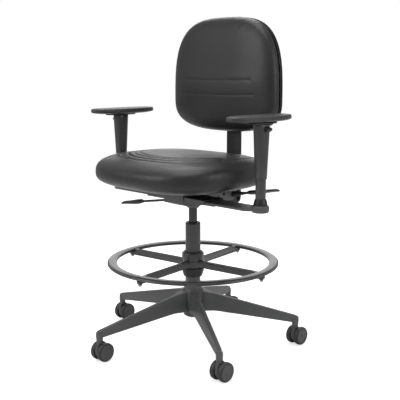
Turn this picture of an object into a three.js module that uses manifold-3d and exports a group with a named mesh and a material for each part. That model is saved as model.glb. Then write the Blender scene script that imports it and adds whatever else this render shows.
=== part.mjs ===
// Drafting chair: five-star base on twin-wheel casters, gas column with an adjustable foot ring,
// tilting under-seat mechanism, upholstered seat and back, and two height-adjustable arms.
//
// Units are millimetres and +Z is up. The chair faces -Y and +X is the sitter's left. The column
// stands on the Z axis in `chair`, and the whole chair is then moved so that the centre of its
// bounding box lies over the origin, with the casters standing on Z = 0.

import * as THREE from 'three';
import { mergeVertices } from 'three/addons/utils/BufferGeometryUtils.js';
import Module from 'manifold-3d';

const wasm = await Module();
wasm.setup();

// ---------------------------------------------------------------- driving dimensions

const GAP = 0.3;                    // left between two pieces that touch
const SEGMENTS = 24;                // sides of a large round piece
const FINE_SEGMENTS = 16;           // sides of a small round piece

// five-star base
const LEGS = 5;
const FIRST_LEG_ANGLE = 58.1;       // degrees, from -Y towards +X
const BASE_RADIUS = 350;
const STEM_CIRCLE = 339;
const LEG_TOP_ROOT = 187;
const LEG_TOP_TIP = 97;
const LEG_LOW_ROOT = 122;
const LEG_LOW_TIP = 74;
const BOSS_LOW = 63;
const BOSS_RADIUS = 11;
const HUB_RADIUS = 38;
const HUB_BARREL_RADIUS = 31;
const HUB_LOW = 94;
const HUB_FLANGE_RADIUS = 29.5;
const HUB_TOP = 201;

// casters
const WHEEL_RADIUS = 30;            // to the flats of the many-sided tread
const WHEEL_SIDES = 24;
const WHEEL_INNER_FACE = 7;
const WHEEL_OUTER_FACE = 25;
const CASTER_TRAIL = 10;
const AXLE_RADIUS = 4;
const FORK_HALF_WIDTH = 6;
const STEM_RADIUS = 5.4;
const STEM_TOP = 90;

// gas column
const COLUMN_RADIUS = 25;
const COLUMN_TOP = 404;
const COLUMN_BORE = 20.5;
const COLUMN_BORE_FLOOR = 122;
const PISTON_RADIUS = 14;
const PISTON_LOW = 165;
const PISTON_TOP = 478;
const BUSHING_LOW = 334;
const BUTTON_RADIUS = 4;
const BUTTON_TOP = 485;

// foot ring
const RING_RADIUS = 265;
const RING_HALF_WIDTH = 15.5;
const RING_HALF_HEIGHT = 7;
const RING_HEIGHT = 277;
const SPOKES = 4;
const FIRST_SPOKE_ANGLE = 8;        // degrees, from -Y towards +X
const SPOKE_WIDTH = 13;
const SPOKE_LOW = 263;
const SPOKE_TOP = 281;
const SPIDER_TOP = 308;
const SPIDER_SHOULDER = 283;
const SPIDER_LOW = 257;
const COLLET_RADIUS = 28;
const COLLET_LOW = 232;
const COLLET_TOP = 311;
const KNOB_LOW = 228;

// under-seat mechanism
const HOUSING_HALF_WIDTH = 42;
const HOUSING_WALL = 3;
const HOUSING_FRONT = -87;
const HOUSING_REAR = 165;
const HOUSING_TOP = 517;
const HOUSING_FRONT_LOW = 480;
const HOUSING_SIDE_LOW = 468;
const TILT_PIVOT = { y: 6, z: 492 };
const TILT_PIN_RADIUS = 5;
const SOCKET_LOW = 456;
const SOCKET_TOP = 500;
const BACK_PIVOT = { y: 76, z: 480 };
const BACK_PIN_RADIUS = 5;

// arms
const POST_X = 315;
const POST_Y = -37;
const BAR_FRONT = -80;
const BAR_REAR = -12;
const BAR_LOW = 492;
const BAR_THICKNESS = 8;
const BAR_INNER_END = 62;
const POCKET_OUTER_END = 130;
const POCKET_WALL = 2.6;
const FOOT_RADIUS = 26;
const FOOT_LOW = 487;
const FOOT_TOP = 508;
const TUBE_RADIUS = 15.2;
const TUBE_TOP = 674;
const COLLAR_TOP = 526;
const SLEEVE_LOW = 585;
const SLEEVE_TOP = 745;
const SLEEVE_LOW_RADIUS = 17.6;
const SLEEVE_TOP_HALF = { x: 20, y: 27 };
const TRIGGER_LOW = 722;
const PAD_PLATE_THICKNESS = 4;
const PAD_PLATE_HALF = { x: 25, y: 62 };
const PAD_CENTRE = { x: 306, y: -34 };
const PAD_HALF = { x: 45, y: 131 };
const PAD_TOP = 775;

// seat
const SEAT_CENTRE_Y = -55;
const SEAT_HALF = { x: 258, y: 232 };
const SEAT_WIDEST = 574;
const SEAT_LOW = 524.5;
const SEAT_TOP = 646;
const PAN_HALF_WIDTH = 110;
const PAN_FRONT = -86;
const PAN_REAR = 150;
const PAN_LOW = HOUSING_TOP + GAP;

// back
const BACK_HALF_WIDTH = 224;
const BACK_WIDEST = 800;
const BACK_LOW = 697;
const BACK_TOP = 1066;
const BACK_FRONT = 107;
const SHELL_FRONT = 172;
const SHELL_REAR = 187;
const BACK_CURVE = 4;               // the edges stand this far ahead of the middle
const BACK_SEAM = 1.8;              // between the curved faces of the cushion and its shell
const CUSHION_REAR_DEPTH = 16;      // of the cushion's side wall, behind its widest line
const JBAR_HALF_WIDTH = 31;
const JBAR_FRONT = 194;
const JBAR_THICKNESS = 7;
const JBAR_LOW = 452;
const JBAR_TOP = 862;
const JBAR_BEND = 16;
const CARRIER_LOW = 770;
const CARRIER_TOP = 900;

// ---------------------------------------------------------------- finishes

const finish = (color, roughness, metalness) =>
  new THREE.MeshStandardMaterial({ color, roughness, metalness });

const PAINTED_METAL = finish(0x3a3b3c, 0.45, 0.6);
const DARK_METAL = finish(0x1c1d1e, 0.4, 0.7);
const BRIGHT_STEEL = finish(0x8d9092, 0.25, 0.95);
const BLACK_PLASTIC = finish(0x232425, 0.5, 0.0);
const GREY_PLASTIC = finish(0x55585a, 0.5, 0.0);
const VINYL = finish(0x2f3131, 0.4, 0.0);
const PAD_SKIN = finish(0x2b2c2d, 0.45, 0.0);

// ---------------------------------------------------------------- solid helpers

/** A closed solid, its faces pointing out, from any closed three.js geometry. */
function solid(geometry) {
  const bare = geometry.clone();
  for (const name of ['normal', 'uv', 'color']) {
    bare.deleteAttribute(name);
  }
  const merged = mergeVertices(bare, 1e-3);
  const place = merged.attributes.position;
  const corner = [new THREE.Vector3(), new THREE.Vector3(), new THREE.Vector3()];
  const triangles = [];
  let volume = 0;
  for (let i = 0; i < merged.index.count; i += 3) {
    const ids = [0, 1, 2].map((k) => merged.index.getX(i + k));
    if (new Set(ids).size < 3) {
      continue;
    }
    ids.forEach((id, k) => corner[k].fromBufferAttribute(place, id));
    volume += corner[0].dot(corner[1].clone().cross(corner[2]));
    triangles.push(ids);
  }
  const outward = volume > 0 ? triangles : triangles.map(([a, b, c]) => [a, c, b]);
  return new wasm.Manifold(new wasm.Mesh({
    numProp: 3,
    vertProperties: Float32Array.from(place.array),
    triVerts: Uint32Array.from(outward.flat()),
  }));
}

/** The three.js geometry of a solid. */
function geometryOf(body) {
  const mesh = body.getMesh();
  const geometry = new THREE.BufferGeometry();
  geometry.setAttribute('position', new THREE.BufferAttribute(mesh.vertProperties, 3));
  geometry.setIndex(new THREE.BufferAttribute(mesh.triVerts, 1));
  geometry.computeVertexNormals();
  return geometry;
}

const join = (first, ...others) => others.reduce((whole, piece) => whole.add(piece), first);
const cut = (first, ...others) => others.reduce((whole, piece) => whole.subtract(piece), first);

/** One named piece of the chair. */
function piece(name, body, material) {
  const mesh = new THREE.Mesh(geometryOf(body), material);
  mesh.name = name;
  return mesh;
}

/** A solid turned about Z: profile holds [radius, z] points that start and end on the axis. */
function turned(profile, segments = SEGMENTS) {
  const points = profile.map(([radius, z]) => new THREE.Vector2(radius, z));
  return solid(new THREE.LatheGeometry(points, segments).rotateX(Math.PI / 2));
}

/** A ring turned about Z from a closed outline of [radius, z] points. */
const turnedRing = (outline, segments) => turned([...outline, outline[0]], segments);

/** A plain round bar about Z, from one height to another, its centre at x, y. */
const upright = (radius, low, top, x = 0, y = 0, segments = FINE_SEGMENTS) =>
  turned([[0, low], [radius, low], [radius, top], [0, top]], segments).translate([x, y, 0]);

/** A plain round bar along X, centred on y, z. */
function crossBar(radius, from, to, y, z, segments = FINE_SEGMENTS) {
  const bar = new THREE.CylinderGeometry(radius, radius, to - from, segments);
  return solid(bar.rotateZ(Math.PI / 2).translate((from + to) / 2, y, z));
}

/** A box given by its lowest and highest corners. */
function block([x0, y0, z0], [x1, y1, z1]) {
  const box = new THREE.BoxGeometry(x1 - x0, y1 - y0, z1 - z0);
  return solid(box.translate((x0 + x1) / 2, (y0 + y1) / 2, (z0 + z1) / 2));
}

const outlineOf = (points) => new THREE.Shape(points.map(([u, v]) => new THREE.Vector2(u, v)));

/** An outline drawn from above, thickened from one height to another. */
function slab(shape, low, top, curveSegments = 10) {
  const options = { depth: top - low, bevelEnabled: false, curveSegments };
  return solid(new THREE.ExtrudeGeometry(shape, options).translate(0, 0, low));
}

/** An outline drawn from the side, in y and z, thickened across X about the middle. */
function sideways(shape, halfWidth, curveSegments = 8) {
  const options = { depth: 2 * halfWidth, bevelEnabled: false, curveSegments };
  const turn = new THREE.Matrix4().makeBasis(
    new THREE.Vector3(0, 1, 0), new THREE.Vector3(0, 0, 1), new THREE.Vector3(1, 0, 0));
  return solid(new THREE.ExtrudeGeometry(shape, options).translate(0, 0, -halfWidth).applyMatrix4(turn));
}

/** Moves every vertex of a geometry by a rule that maps [x, y, z] to [x, y, z]. */
function reshaped(geometry, rule) {
  const place = geometry.attributes.position;
  for (let i = 0; i < place.count; i += 1) {
    place.setXYZ(i, ...rule([place.getX(i), place.getY(i), place.getZ(i)]));
  }
  return geometry;
}

const between = (a, b, t) => a + (b - a) * t;
const power = (value, exponent) => Math.sign(value) * Math.abs(value) ** exponent;

/** Distance from the centre to a rounded-rectangle curve, in the direction of an angle. */
const squircle = (angle, halfU, halfV, exponent) =>
  (Math.abs(Math.cos(angle) / halfU) ** exponent + Math.abs(Math.sin(angle) / halfV) ** exponent)
    ** (-1 / exponent);

/**
 * A padded solid. `reach` gives the outline's distance from the centre at an angle, and `place`
 * maps the outline point, scaled by how far in it lies, and a signed height from -1 to 1.
 */
function padded(reach, place, { around = 40, over = 16, topRound = 2.6, lowRound = 2.6 } = {}) {
  const ball = new THREE.SphereGeometry(1, around, over).rotateX(Math.PI / 2);
  return solid(reshaped(ball, ([x, y, z]) => {
    const round = z > 0 ? topRound : lowRound;
    const inward = Math.hypot(x, y) ** (2 / round);
    const angle = Math.atan2(y, x);
    const edge = inward < 1e-6 ? 0 : reach(angle) * inward;
    return place(edge * Math.cos(angle), edge * Math.sin(angle), power(z, 2 / round), inward);
  }));
}

/** Where a direction measured from -Y towards +X points, on the floor plane. */
const heading = (degrees) => {
  const angle = THREE.MathUtils.degToRad(degrees);
  return new THREE.Vector2(Math.sin(angle), -Math.cos(angle));
};

const legAngle = (index) => FIRST_LEG_ANGLE + (360 / LEGS) * index;

// ---------------------------------------------------------------- five-star base

/** One blade-like leg along +X, thin along its top edge and wider below. */
function leg() {
  const shape = outlineOf([
    [20, LEG_LOW_ROOT], [HUB_RADIUS + 14, LEG_LOW_ROOT], [STEM_CIRCLE - BOSS_RADIUS - 4, LEG_LOW_TIP],
    [STEM_CIRCLE, LEG_LOW_TIP - 4], [BASE_RADIUS - 1.5, LEG_LOW_TIP],
    [BASE_RADIUS - 1, LEG_TOP_TIP - 4], [BASE_RADIUS - 5, LEG_TOP_TIP],
    [HUB_RADIUS + 4, LEG_TOP_ROOT - 3], [20, LEG_TOP_ROOT],
  ]);
  const blade = new THREE.ExtrudeGeometry(shape, { depth: 2, bevelEnabled: false, steps: 1 });
  blade.rotateX(Math.PI / 2).translate(0, 1, 0);
  return solid(reshaped(blade, ([x, y, z]) => {
    const along = THREE.MathUtils.clamp(x / BASE_RADIUS, 0, 1);
    const top = between(LEG_TOP_ROOT, LEG_TOP_TIP, along);
    const low = between(LEG_LOW_ROOT, LEG_LOW_TIP, along);
    const down = THREE.MathUtils.clamp((top - z) / (top - low), 0, 1);
    const halfWidth = between(between(8, 6.5, along), between(17, 9.5, along), down);
    return [x, y * halfWidth, z];
  }));
}

function fiveStarBase() {
  const hub = turned([
    [0, HUB_LOW], [HUB_BARREL_RADIUS - 2, HUB_LOW], [HUB_BARREL_RADIUS, HUB_LOW + 3],
    [HUB_BARREL_RADIUS, LEG_LOW_ROOT], [HUB_RADIUS, LEG_LOW_ROOT], [HUB_RADIUS, LEG_TOP_ROOT - 8],
    [HUB_FLANGE_RADIUS, LEG_TOP_ROOT + 1], [HUB_FLANGE_RADIUS, HUB_TOP], [0, HUB_TOP],
  ]);
  let base = hub;
  for (let i = 0; i < LEGS; i += 1) {
    const turn = legAngle(i) - 90;
    const boss = upright(BOSS_RADIUS, BOSS_LOW, LEG_TOP_TIP - 6, STEM_CIRCLE, 0);
    base = join(base, leg().rotate([0, 0, turn]), boss.rotate([0, 0, turn]));
  }
  for (let i = 0; i < LEGS; i += 1) {
    const bore = upright(STEM_RADIUS + GAP, BOSS_LOW - 5, STEM_TOP + GAP, STEM_CIRCLE, 0, 12);
    base = cut(base, bore.rotate([0, 0, legAngle(i) - 90]));
  }
  return piece('five_star_base', cut(base, columnTaper(GAP)), PAINTED_METAL);
}

// ---------------------------------------------------------------- casters

/** The flat fork body between the two wheels, with its collar and stem. */
function casterFork() {
  const shape = new THREE.Shape();
  shape.moveTo(-9, 60.4);
  shape.lineTo(-15, 42);
  shape.lineTo(-15, 27);
  shape.quadraticCurveTo(-12, 10, CASTER_TRAIL, 10);
  shape.quadraticCurveTo(26, 12, CASTER_TRAIL + 16, 33);
  shape.quadraticCurveTo(24, 50, 9, 60.4);
  const collar = upright(BOSS_RADIUS - 1, 60.2, BOSS_LOW - GAP);
  const stem = upright(STEM_RADIUS, 60, STEM_TOP, 0, 0, 12);
  const body = join(sideways(shape, FORK_HALF_WIDTH, 3), collar, stem);
  return cut(body, crossBar(AXLE_RADIUS + GAP, -30, 30, CASTER_TRAIL, WHEEL_RADIUS, 12));
}

/** A wheel with a chamfered tread and a plain disc face, standing on one flat of its tread. */
function casterWheel(side) {
  const rim = WHEEL_RADIUS / Math.cos(Math.PI / WHEEL_SIDES);
  const blind = WHEEL_OUTER_FACE - 6;
  const profile = [
    [0, blind], [AXLE_RADIUS + GAP, blind], [AXLE_RADIUS + GAP, WHEEL_INNER_FACE],
    [rim - 3, WHEEL_INNER_FACE], [rim, WHEEL_INNER_FACE + 3], [rim, WHEEL_OUTER_FACE - 4],
    [rim - 2.5, WHEEL_OUTER_FACE], [0, WHEEL_OUTER_FACE],
  ];
  const wheel = turned(profile, WHEEL_SIDES).rotate([0, 0, 180 / WHEEL_SIDES]).rotate([0, 90, 0]);
  const facing = side > 0 ? wheel : wheel.rotate([0, 0, 180]);
  return facing.translate([0, CASTER_TRAIL, WHEEL_RADIUS]);
}

function caster(index) {
  const stem = heading(legAngle(index)).multiplyScalar(STEM_CIRCLE);
  const at = [stem.x, stem.y, 0];
  const number = index + 1;
  const reach = WHEEL_OUTER_FACE - 6 - GAP;
  const axle = crossBar(AXLE_RADIUS, -reach, reach, CASTER_TRAIL, WHEEL_RADIUS, 12);
  const group = new THREE.Group();
  group.add(piece(`caster_fork_${number}`, casterFork().translate(at), GREY_PLASTIC));
  group.add(piece(`caster_axle_${number}`, axle.translate(at), BRIGHT_STEEL));
  group.add(piece(`caster_wheel_left_${number}`, casterWheel(1).translate(at), BLACK_PLASTIC));
  group.add(piece(`caster_wheel_right_${number}`, casterWheel(-1).translate(at), BLACK_PLASTIC));
  return group;
}

// ---------------------------------------------------------------- gas column

/** The part of the column that the hub grips, grown by a clearance. */
const columnTaper = (clearance) => turned([
  [0, HUB_LOW - 1], [COLUMN_RADIUS - 2.5 + clearance, HUB_LOW - 1],
  [COLUMN_RADIUS + clearance, LEG_LOW_ROOT + 20], [COLUMN_RADIUS + clearance, HUB_TOP + 1], [0, HUB_TOP + 1],
]);

function gasColumn() {
  const tube = turned([
    [0, HUB_LOW - 8], [13, HUB_LOW - 8], [14, HUB_LOW - 7], [14, HUB_LOW - GAP],
    [COLUMN_RADIUS - 2.5, HUB_LOW - GAP], [COLUMN_RADIUS, LEG_LOW_ROOT + 20],
    [COLUMN_RADIUS, COLUMN_TOP], [COLUMN_BORE, COLUMN_TOP], [COLUMN_BORE, COLUMN_BORE_FLOOR],
    [0, COLUMN_BORE_FLOOR],
  ]);
  const clip = turnedRing([
    [14 + GAP, HUB_LOW - 5], [21, HUB_LOW - 5], [21, HUB_LOW - 3], [14 + GAP, HUB_LOW - 3],
  ], FINE_SEGMENTS);
  const bushing = turnedRing([
    [PISTON_RADIUS + GAP, BUSHING_LOW], [COLUMN_BORE - GAP, BUSHING_LOW],
    [COLUMN_BORE - GAP, COLUMN_TOP + GAP], [COLUMN_RADIUS, COLUMN_TOP + GAP],
    [COLUMN_RADIUS - 0.6, COLUMN_TOP + 3.4], [PISTON_RADIUS + GAP, COLUMN_TOP + 3.4],
  ]);
  const piston = turned([
    [0, PISTON_LOW], [PISTON_RADIUS, PISTON_LOW], [PISTON_RADIUS, SOCKET_LOW + 4],
    [PISTON_RADIUS - 1, PISTON_TOP], [0, PISTON_TOP],
  ]);
  const buttonBore = upright(BUTTON_RADIUS + GAP, PISTON_TOP - 12, PISTON_TOP + 1);
  const button = upright(BUTTON_RADIUS, PISTON_TOP - 7, BUTTON_TOP);
  const group = new THREE.Group();
  group.add(piece('gas_column_tube', tube, PAINTED_METAL));
  group.add(piece('column_retaining_clip', clip, BRIGHT_STEEL));
  group.add(piece('column_guide_bushing', bushing, BLACK_PLASTIC));
  group.add(piece('gas_piston', cut(piston, buttonBore), DARK_METAL));
  group.add(piece('gas_valve_button', button, BRIGHT_STEEL));
  return group;
}

// ---------------------------------------------------------------- foot ring

function footRing() {
  const section = [];
  const corners = 10;
  for (let i = 0; i < corners; i += 1) {
    const angle = (2 * Math.PI * i) / corners;
    section.push([
      RING_RADIUS + RING_HALF_WIDTH * power(Math.cos(angle), 0.8),
      RING_HEIGHT + RING_HALF_HEIGHT * power(Math.sin(angle), 0.8),
    ]);
  }
  return piece('foot_ring', turnedRing(section, 56), PAINTED_METAL);
}

/** The hub casting with its four spokes, each with a tab that passes under the ring. */
function footRingSpider() {
  const tabTop = RING_HEIGHT - RING_HALF_HEIGHT - GAP;
  const spoke = sideways(outlineOf([
    [24, SPOKE_LOW - 4], [RING_RADIUS - RING_HALF_WIDTH, SPOKE_LOW - 4], [RING_RADIUS + 9, tabTop - 10],
    [RING_RADIUS + 9, tabTop], [RING_RADIUS - RING_HALF_WIDTH - 2, tabTop],
    [RING_RADIUS - RING_HALF_WIDTH - 2, SPOKE_TOP - 3], [RING_RADIUS - RING_HALF_WIDTH - 8, SPOKE_TOP],
    [24, SPOKE_TOP],
  ]), SPOKE_WIDTH / 2);
  const bolt = upright(6.5, tabTop - 15, tabTop - 2, 0, RING_RADIUS, 6);
  const hub = turned([
    [0, SPIDER_LOW], [33, SPIDER_LOW], [33, SPIDER_SHOULDER - 3], [36, SPIDER_SHOULDER],
    [36, SPIDER_TOP - 3], [34, SPIDER_TOP], [0, SPIDER_TOP],
  ]);
  let spider = hub;
  for (let i = 0; i < SPOKES; i += 1) {
    const turn = 180 + FIRST_SPOKE_ANGLE + (360 / SPOKES) * i;
    spider = join(spider, spoke.rotate([0, 0, turn]), bolt.rotate([0, 0, turn]));
  }
  const bore = upright(COLLET_RADIUS + GAP, SPIDER_LOW - 1, SPIDER_TOP + 1, 0, 0, SEGMENTS);
  return piece('foot_ring_spider', cut(spider, bore), PAINTED_METAL);
}

function footRingClamp() {
  const collet = turnedRing([
    [COLUMN_RADIUS + GAP, COLLET_LOW], [COLLET_RADIUS, COLLET_LOW],
    [COLLET_RADIUS, SPIDER_TOP + GAP], [COLLET_RADIUS + 3, SPIDER_TOP + GAP],
    [COLLET_RADIUS + 3, COLLET_TOP], [COLUMN_RADIUS + GAP, COLLET_TOP],
  ]);
  const knobTop = SPIDER_LOW - GAP;
  const body = turnedRing([
    [COLLET_RADIUS + GAP, KNOB_LOW], [COLLET_RADIUS + 2.5, KNOB_LOW], [COLLET_RADIUS + 5, KNOB_LOW + 8],
    [COLLET_RADIUS + 8, KNOB_LOW + 20], [COLLET_RADIUS + 8, knobTop], [COLLET_RADIUS + GAP, knobTop],
  ]);
  let knob = body;
  const grooves = 8;
  for (let i = 0; i < grooves; i += 1) {
    const groove = upright(2.6, KNOB_LOW - 1, knobTop + 1, COLLET_RADIUS + 9.6, 0, 8);
    knob = cut(knob, groove.rotate([0, 0, (360 / grooves) * i]));
  }
  const group = new THREE.Group();
  group.add(piece('foot_ring_collet', collet, BLACK_PLASTIC));
  group.add(piece('foot_ring_knob', knob, BLACK_PLASTIC));
  return group;
}

// ---------------------------------------------------------------- under-seat mechanism

const tiltPinHole = (clearance, reach) =>
  crossBar(TILT_PIN_RADIUS + clearance, -reach, reach, TILT_PIVOT.y, TILT_PIVOT.z, 16);
const backPinHole = (clearance, reach) =>
  crossBar(BACK_PIN_RADIUS + clearance, -reach, reach, BACK_PIVOT.y, BACK_PIVOT.z, 16);

/** The funnel that grips the piston and carries the tilt pivot. */
function columnSocket() {
  const funnel = turned([
    [0, SOCKET_LOW], [19, SOCKET_LOW], [34, SOCKET_LOW + 22], [34, SOCKET_LOW + 26], [0, SOCKET_LOW + 26],
  ]);
  const bridge = block([-36, -34, SOCKET_LOW + 20], [36, 34, SOCKET_TOP]);
  const bore = turned([
    [0, SOCKET_LOW - 1], [PISTON_RADIUS + GAP, SOCKET_LOW - 1], [PISTON_RADIUS + GAP, SOCKET_LOW + 4],
    [PISTON_RADIUS - 1 + GAP, PISTON_TOP], [PISTON_RADIUS - 1 + GAP, SOCKET_TOP + 1], [0, SOCKET_TOP + 1],
  ]);
  const pinSeat = block([-7, -2, PISTON_TOP + 2], [7, 14, SOCKET_TOP + 1]);
  return piece('column_socket', cut(join(funnel, bridge), bore, pinSeat, tiltPinHole(GAP, 50)), PAINTED_METAL);
}

/** One side pocket of the housing, in which an arm bar slides. */
function armPocket(side) {
  const outer = block(
    [HOUSING_HALF_WIDTH - 1, BAR_FRONT - GAP - POCKET_WALL, BAR_LOW - GAP - POCKET_WALL],
    [POCKET_OUTER_END, BAR_REAR + GAP + POCKET_WALL, BAR_LOW + BAR_THICKNESS + GAP + POCKET_WALL]);
  const slot = block(
    [HOUSING_HALF_WIDTH + 2, BAR_FRONT - GAP, BAR_LOW - GAP],
    [POCKET_OUTER_END + 1, BAR_REAR + GAP, BAR_LOW + BAR_THICKNESS + GAP]);
  const pocket = cut(outer, slot);
  return side > 0 ? pocket : pocket.mirror([1, 0, 0]);
}

function mechanismHousing() {
  const outside = sideways(outlineOf([
    [HOUSING_FRONT, HOUSING_TOP], [HOUSING_FRONT, HOUSING_FRONT_LOW], [-50, HOUSING_SIDE_LOW],
    [HOUSING_REAR - 20, HOUSING_SIDE_LOW], [HOUSING_REAR, HOUSING_SIDE_LOW + 10],
    [HOUSING_REAR, HOUSING_TOP],
  ]), HOUSING_HALF_WIDTH);
  const inside = sideways(outlineOf([
    [HOUSING_FRONT + HOUSING_WALL, HOUSING_TOP - HOUSING_WALL],
    [HOUSING_FRONT + HOUSING_WALL, HOUSING_FRONT_LOW + HOUSING_WALL],
    [-48, HOUSING_SIDE_LOW + HOUSING_WALL], [-44, HOUSING_SIDE_LOW - 1],
    [HOUSING_REAR + 1, HOUSING_SIDE_LOW - 1], [HOUSING_REAR + 1, HOUSING_TOP - HOUSING_WALL],
  ]), HOUSING_HALF_WIDTH - HOUSING_WALL);
  const flange = slab(outlineOf([
    [-78, -60], [78, -60], [78, 120], [-78, 120],
  ]), HOUSING_TOP - HOUSING_WALL, HOUSING_TOP);
  const shell = join(cut(outside, inside), flange, armPocket(1), armPocket(-1));
  return piece('mechanism_housing', cut(shell, tiltPinHole(GAP, 60), backPinHole(GAP, 60)), PAINTED_METAL);
}

/** A pivot pin through both side walls, with a flat head at each end. */
function pivotPin(name, pivot, radius) {
  const wall = HOUSING_HALF_WIDTH + GAP;
  const shank = crossBar(radius, -wall, wall, pivot.y, pivot.z, 16);
  const heads = [1, -1].map((side) =>
    crossBar(radius + 3, side > 0 ? wall : -wall - 4, side > 0 ? wall + 4 : -wall, pivot.y, pivot.z, 6));
  return piece(name, join(shank, ...heads), DARK_METAL);
}

/** The block inside the housing that carries the foot of the back upright. */
function backPivotBracket() {
  const halfWidth = HOUSING_HALF_WIDTH - HOUSING_WALL - 1;
  const low = JBAR_LOW + JBAR_THICKNESS + GAP;
  const body = sideways(outlineOf([
    [62, low + 4], [66, low], [168, low], [172, low + 5], [172, 470], [120, 494], [66, 494], [62, 490],
  ]), halfWidth);
  return piece('back_pivot_bracket', cut(body, backPinHole(GAP, 50)), DARK_METAL);
}

/** A control lever that leaves the side of the housing: a thin rod and then a flat paddle. */
function lever({ name, side, y, z, reach, paddle, droop, paddleHalf }) {
  const start = HOUSING_HALF_WIDTH + 1.4;
  const rod = crossBar(4, start, reach - paddle + 8, y, z, 12);
  const plate = new THREE.Shape();
  plate.moveTo(reach - paddle, y - 5);
  plate.quadraticCurveTo(reach - paddle / 2, y - paddleHalf - 3, reach - 8, y - paddleHalf);
  plate.quadraticCurveTo(reach + 4, y, reach - 8, y + paddleHalf);
  plate.quadraticCurveTo(reach - paddle / 2, y + paddleHalf + 3, reach - paddle, y + 5);
  const blade = slab(plate, z - 3.6, z + 3.6, 6);
  const whole = join(rod, blade)
    .translate([-start, 0, -z])
    .rotate([0, droop, 0])
    .translate([start, 0, z]);
  return piece(name, side > 0 ? whole : whole.mirror([1, 0, 0]), BLACK_PLASTIC);
}

function mechanism() {
  const group = new THREE.Group();
  group.add(columnSocket());
  group.add(mechanismHousing());
  group.add(pivotPin('tilt_pivot_pin', TILT_PIVOT, TILT_PIN_RADIUS));
  group.add(pivotPin('back_pivot_pin', BACK_PIVOT, BACK_PIN_RADIUS));
  group.add(backPivotBracket());
  group.add(lever({
    name: 'height_lever', side: -1, y: -80, z: 484.7, reach: 265, paddle: 92, droop: 9.3, paddleHalf: 11,
  }));
  group.add(lever({
    name: 'back_lever', side: 1, y: 148, z: 487, reach: 238, paddle: 112, droop: -10.5, paddleHalf: 13,
  }));
  group.add(lever({
    name: 'tilt_lever', side: 1, y: -46, z: 508.5, reach: 172, paddle: 86, droop: 0, paddleHalf: 11,
  }));
  return group;
}

// ---------------------------------------------------------------- seat

/** The stiff plate, with rounded corners, that the cushion is upholstered on. */
function seatPan() {
  const corner = 24;
  const shape = new THREE.Shape();
  shape.moveTo(-PAN_HALF_WIDTH, PAN_FRONT + corner);
  shape.absarc(-PAN_HALF_WIDTH + corner, PAN_FRONT + corner, corner, Math.PI, 1.5 * Math.PI);
  shape.absarc(PAN_HALF_WIDTH - corner, PAN_FRONT + corner, corner, 1.5 * Math.PI, 2 * Math.PI);
  shape.absarc(PAN_HALF_WIDTH - corner, PAN_REAR - corner, corner, 0, 0.5 * Math.PI);
  shape.absarc(-PAN_HALF_WIDTH + corner, PAN_REAR - corner, corner, 0.5 * Math.PI, Math.PI);
  return piece('seat_pan', slab(shape, PAN_LOW, SEAT_LOW - GAP, 4), BLACK_PLASTIC);
}

/** The seat cushion: deep rounded sides, a shallow dish and a front edge that falls away. */
function seatCushion() {
  const reach = (angle) => squircle(angle, SEAT_HALF.x, SEAT_HALF.y, 2.9);
  const body = padded(reach, (x, y, height, inward) => {
    const front = THREE.MathUtils.clamp(-y / SEAT_HALF.y, 0, 1);
    const rear = THREE.MathUtils.clamp(y / SEAT_HALF.y, 0, 1);
    const fall = 24 * front ** 3 + 8 * rear ** 2;
    const dish = 8 * (1 - inward ** 2);
    const z = height > 0
      ? SEAT_WIDEST + (SEAT_TOP - SEAT_WIDEST - fall) * height - dish * height
      : SEAT_WIDEST + (SEAT_WIDEST - SEAT_LOW) * height;
    return [x, SEAT_CENTRE_Y + y, z];
  }, { around: 36, over: 14, topRound: 3.2, lowRound: 2.5 });
  return piece('seat_cushion', body, VINYL);
}

// ---------------------------------------------------------------- back

/** Distance from the back's centre to its D-shaped outline: a high top and a shallow bottom. */
function backReach(angle) {
  const above = Math.sin(angle) > 0;
  const halfHeight = above ? BACK_TOP - BACK_WIDEST : BACK_WIDEST - BACK_LOW;
  return squircle(angle, BACK_HALF_WIDTH, halfHeight, above ? 3.2 : 2.8);
}

const backCurve = (x) => BACK_CURVE * (x / BACK_HALF_WIDTH) ** 2;

function backPads() {
  const widest = SHELL_FRONT - BACK_SEAM - CUSHION_REAR_DEPTH;
  const cushion = padded(backReach, (x, z, height) => {
    const forward = height * (height > 0 ? widest - BACK_FRONT : CUSHION_REAR_DEPTH);
    return [x, widest - forward - backCurve(x), BACK_WIDEST + z];
  }, { around: 36, over: 10, topRound: 3.0, lowRound: 6 });
  const shellDepth = SHELL_REAR - SHELL_FRONT;
  const shell = padded(backReach, (x, z, height) => {
    const forward = height > 0 ? height * 2 : height * (shellDepth - 2);
    return [x, SHELL_FRONT + 2 - forward - backCurve(x), BACK_WIDEST + z];
  }, { around: 36, over: 8, topRound: 8, lowRound: 3.2 });
  const group = new THREE.Group();
  group.add(piece('back_cushion', cushion, VINYL));
  group.add(piece('back_shell', shell, BLACK_PLASTIC));
  return group;
}

/** The flat upright: it rises behind the seat and turns forward under it. */
function jBar() {
  const rear = JBAR_FRONT + JBAR_THICKNESS;
  const low = JBAR_LOW;
  const shape = new THREE.Shape();
  shape.moveTo(66, low);
  shape.lineTo(rear - JBAR_BEND, low);
  shape.absarc(rear - JBAR_BEND, low + JBAR_BEND, JBAR_BEND, -Math.PI / 2, 0, false);
  shape.lineTo(rear, JBAR_TOP);
  shape.lineTo(JBAR_FRONT, JBAR_TOP);
  shape.lineTo(JBAR_FRONT, low + JBAR_BEND);
  shape.absarc(rear - JBAR_BEND, low + JBAR_BEND, JBAR_BEND - JBAR_THICKNESS, 0, -Math.PI / 2, true);
  shape.lineTo(66, low + JBAR_THICKNESS);
  return piece('back_upright', sideways(shape, JBAR_HALF_WIDTH, 5), DARK_METAL);
}

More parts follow.
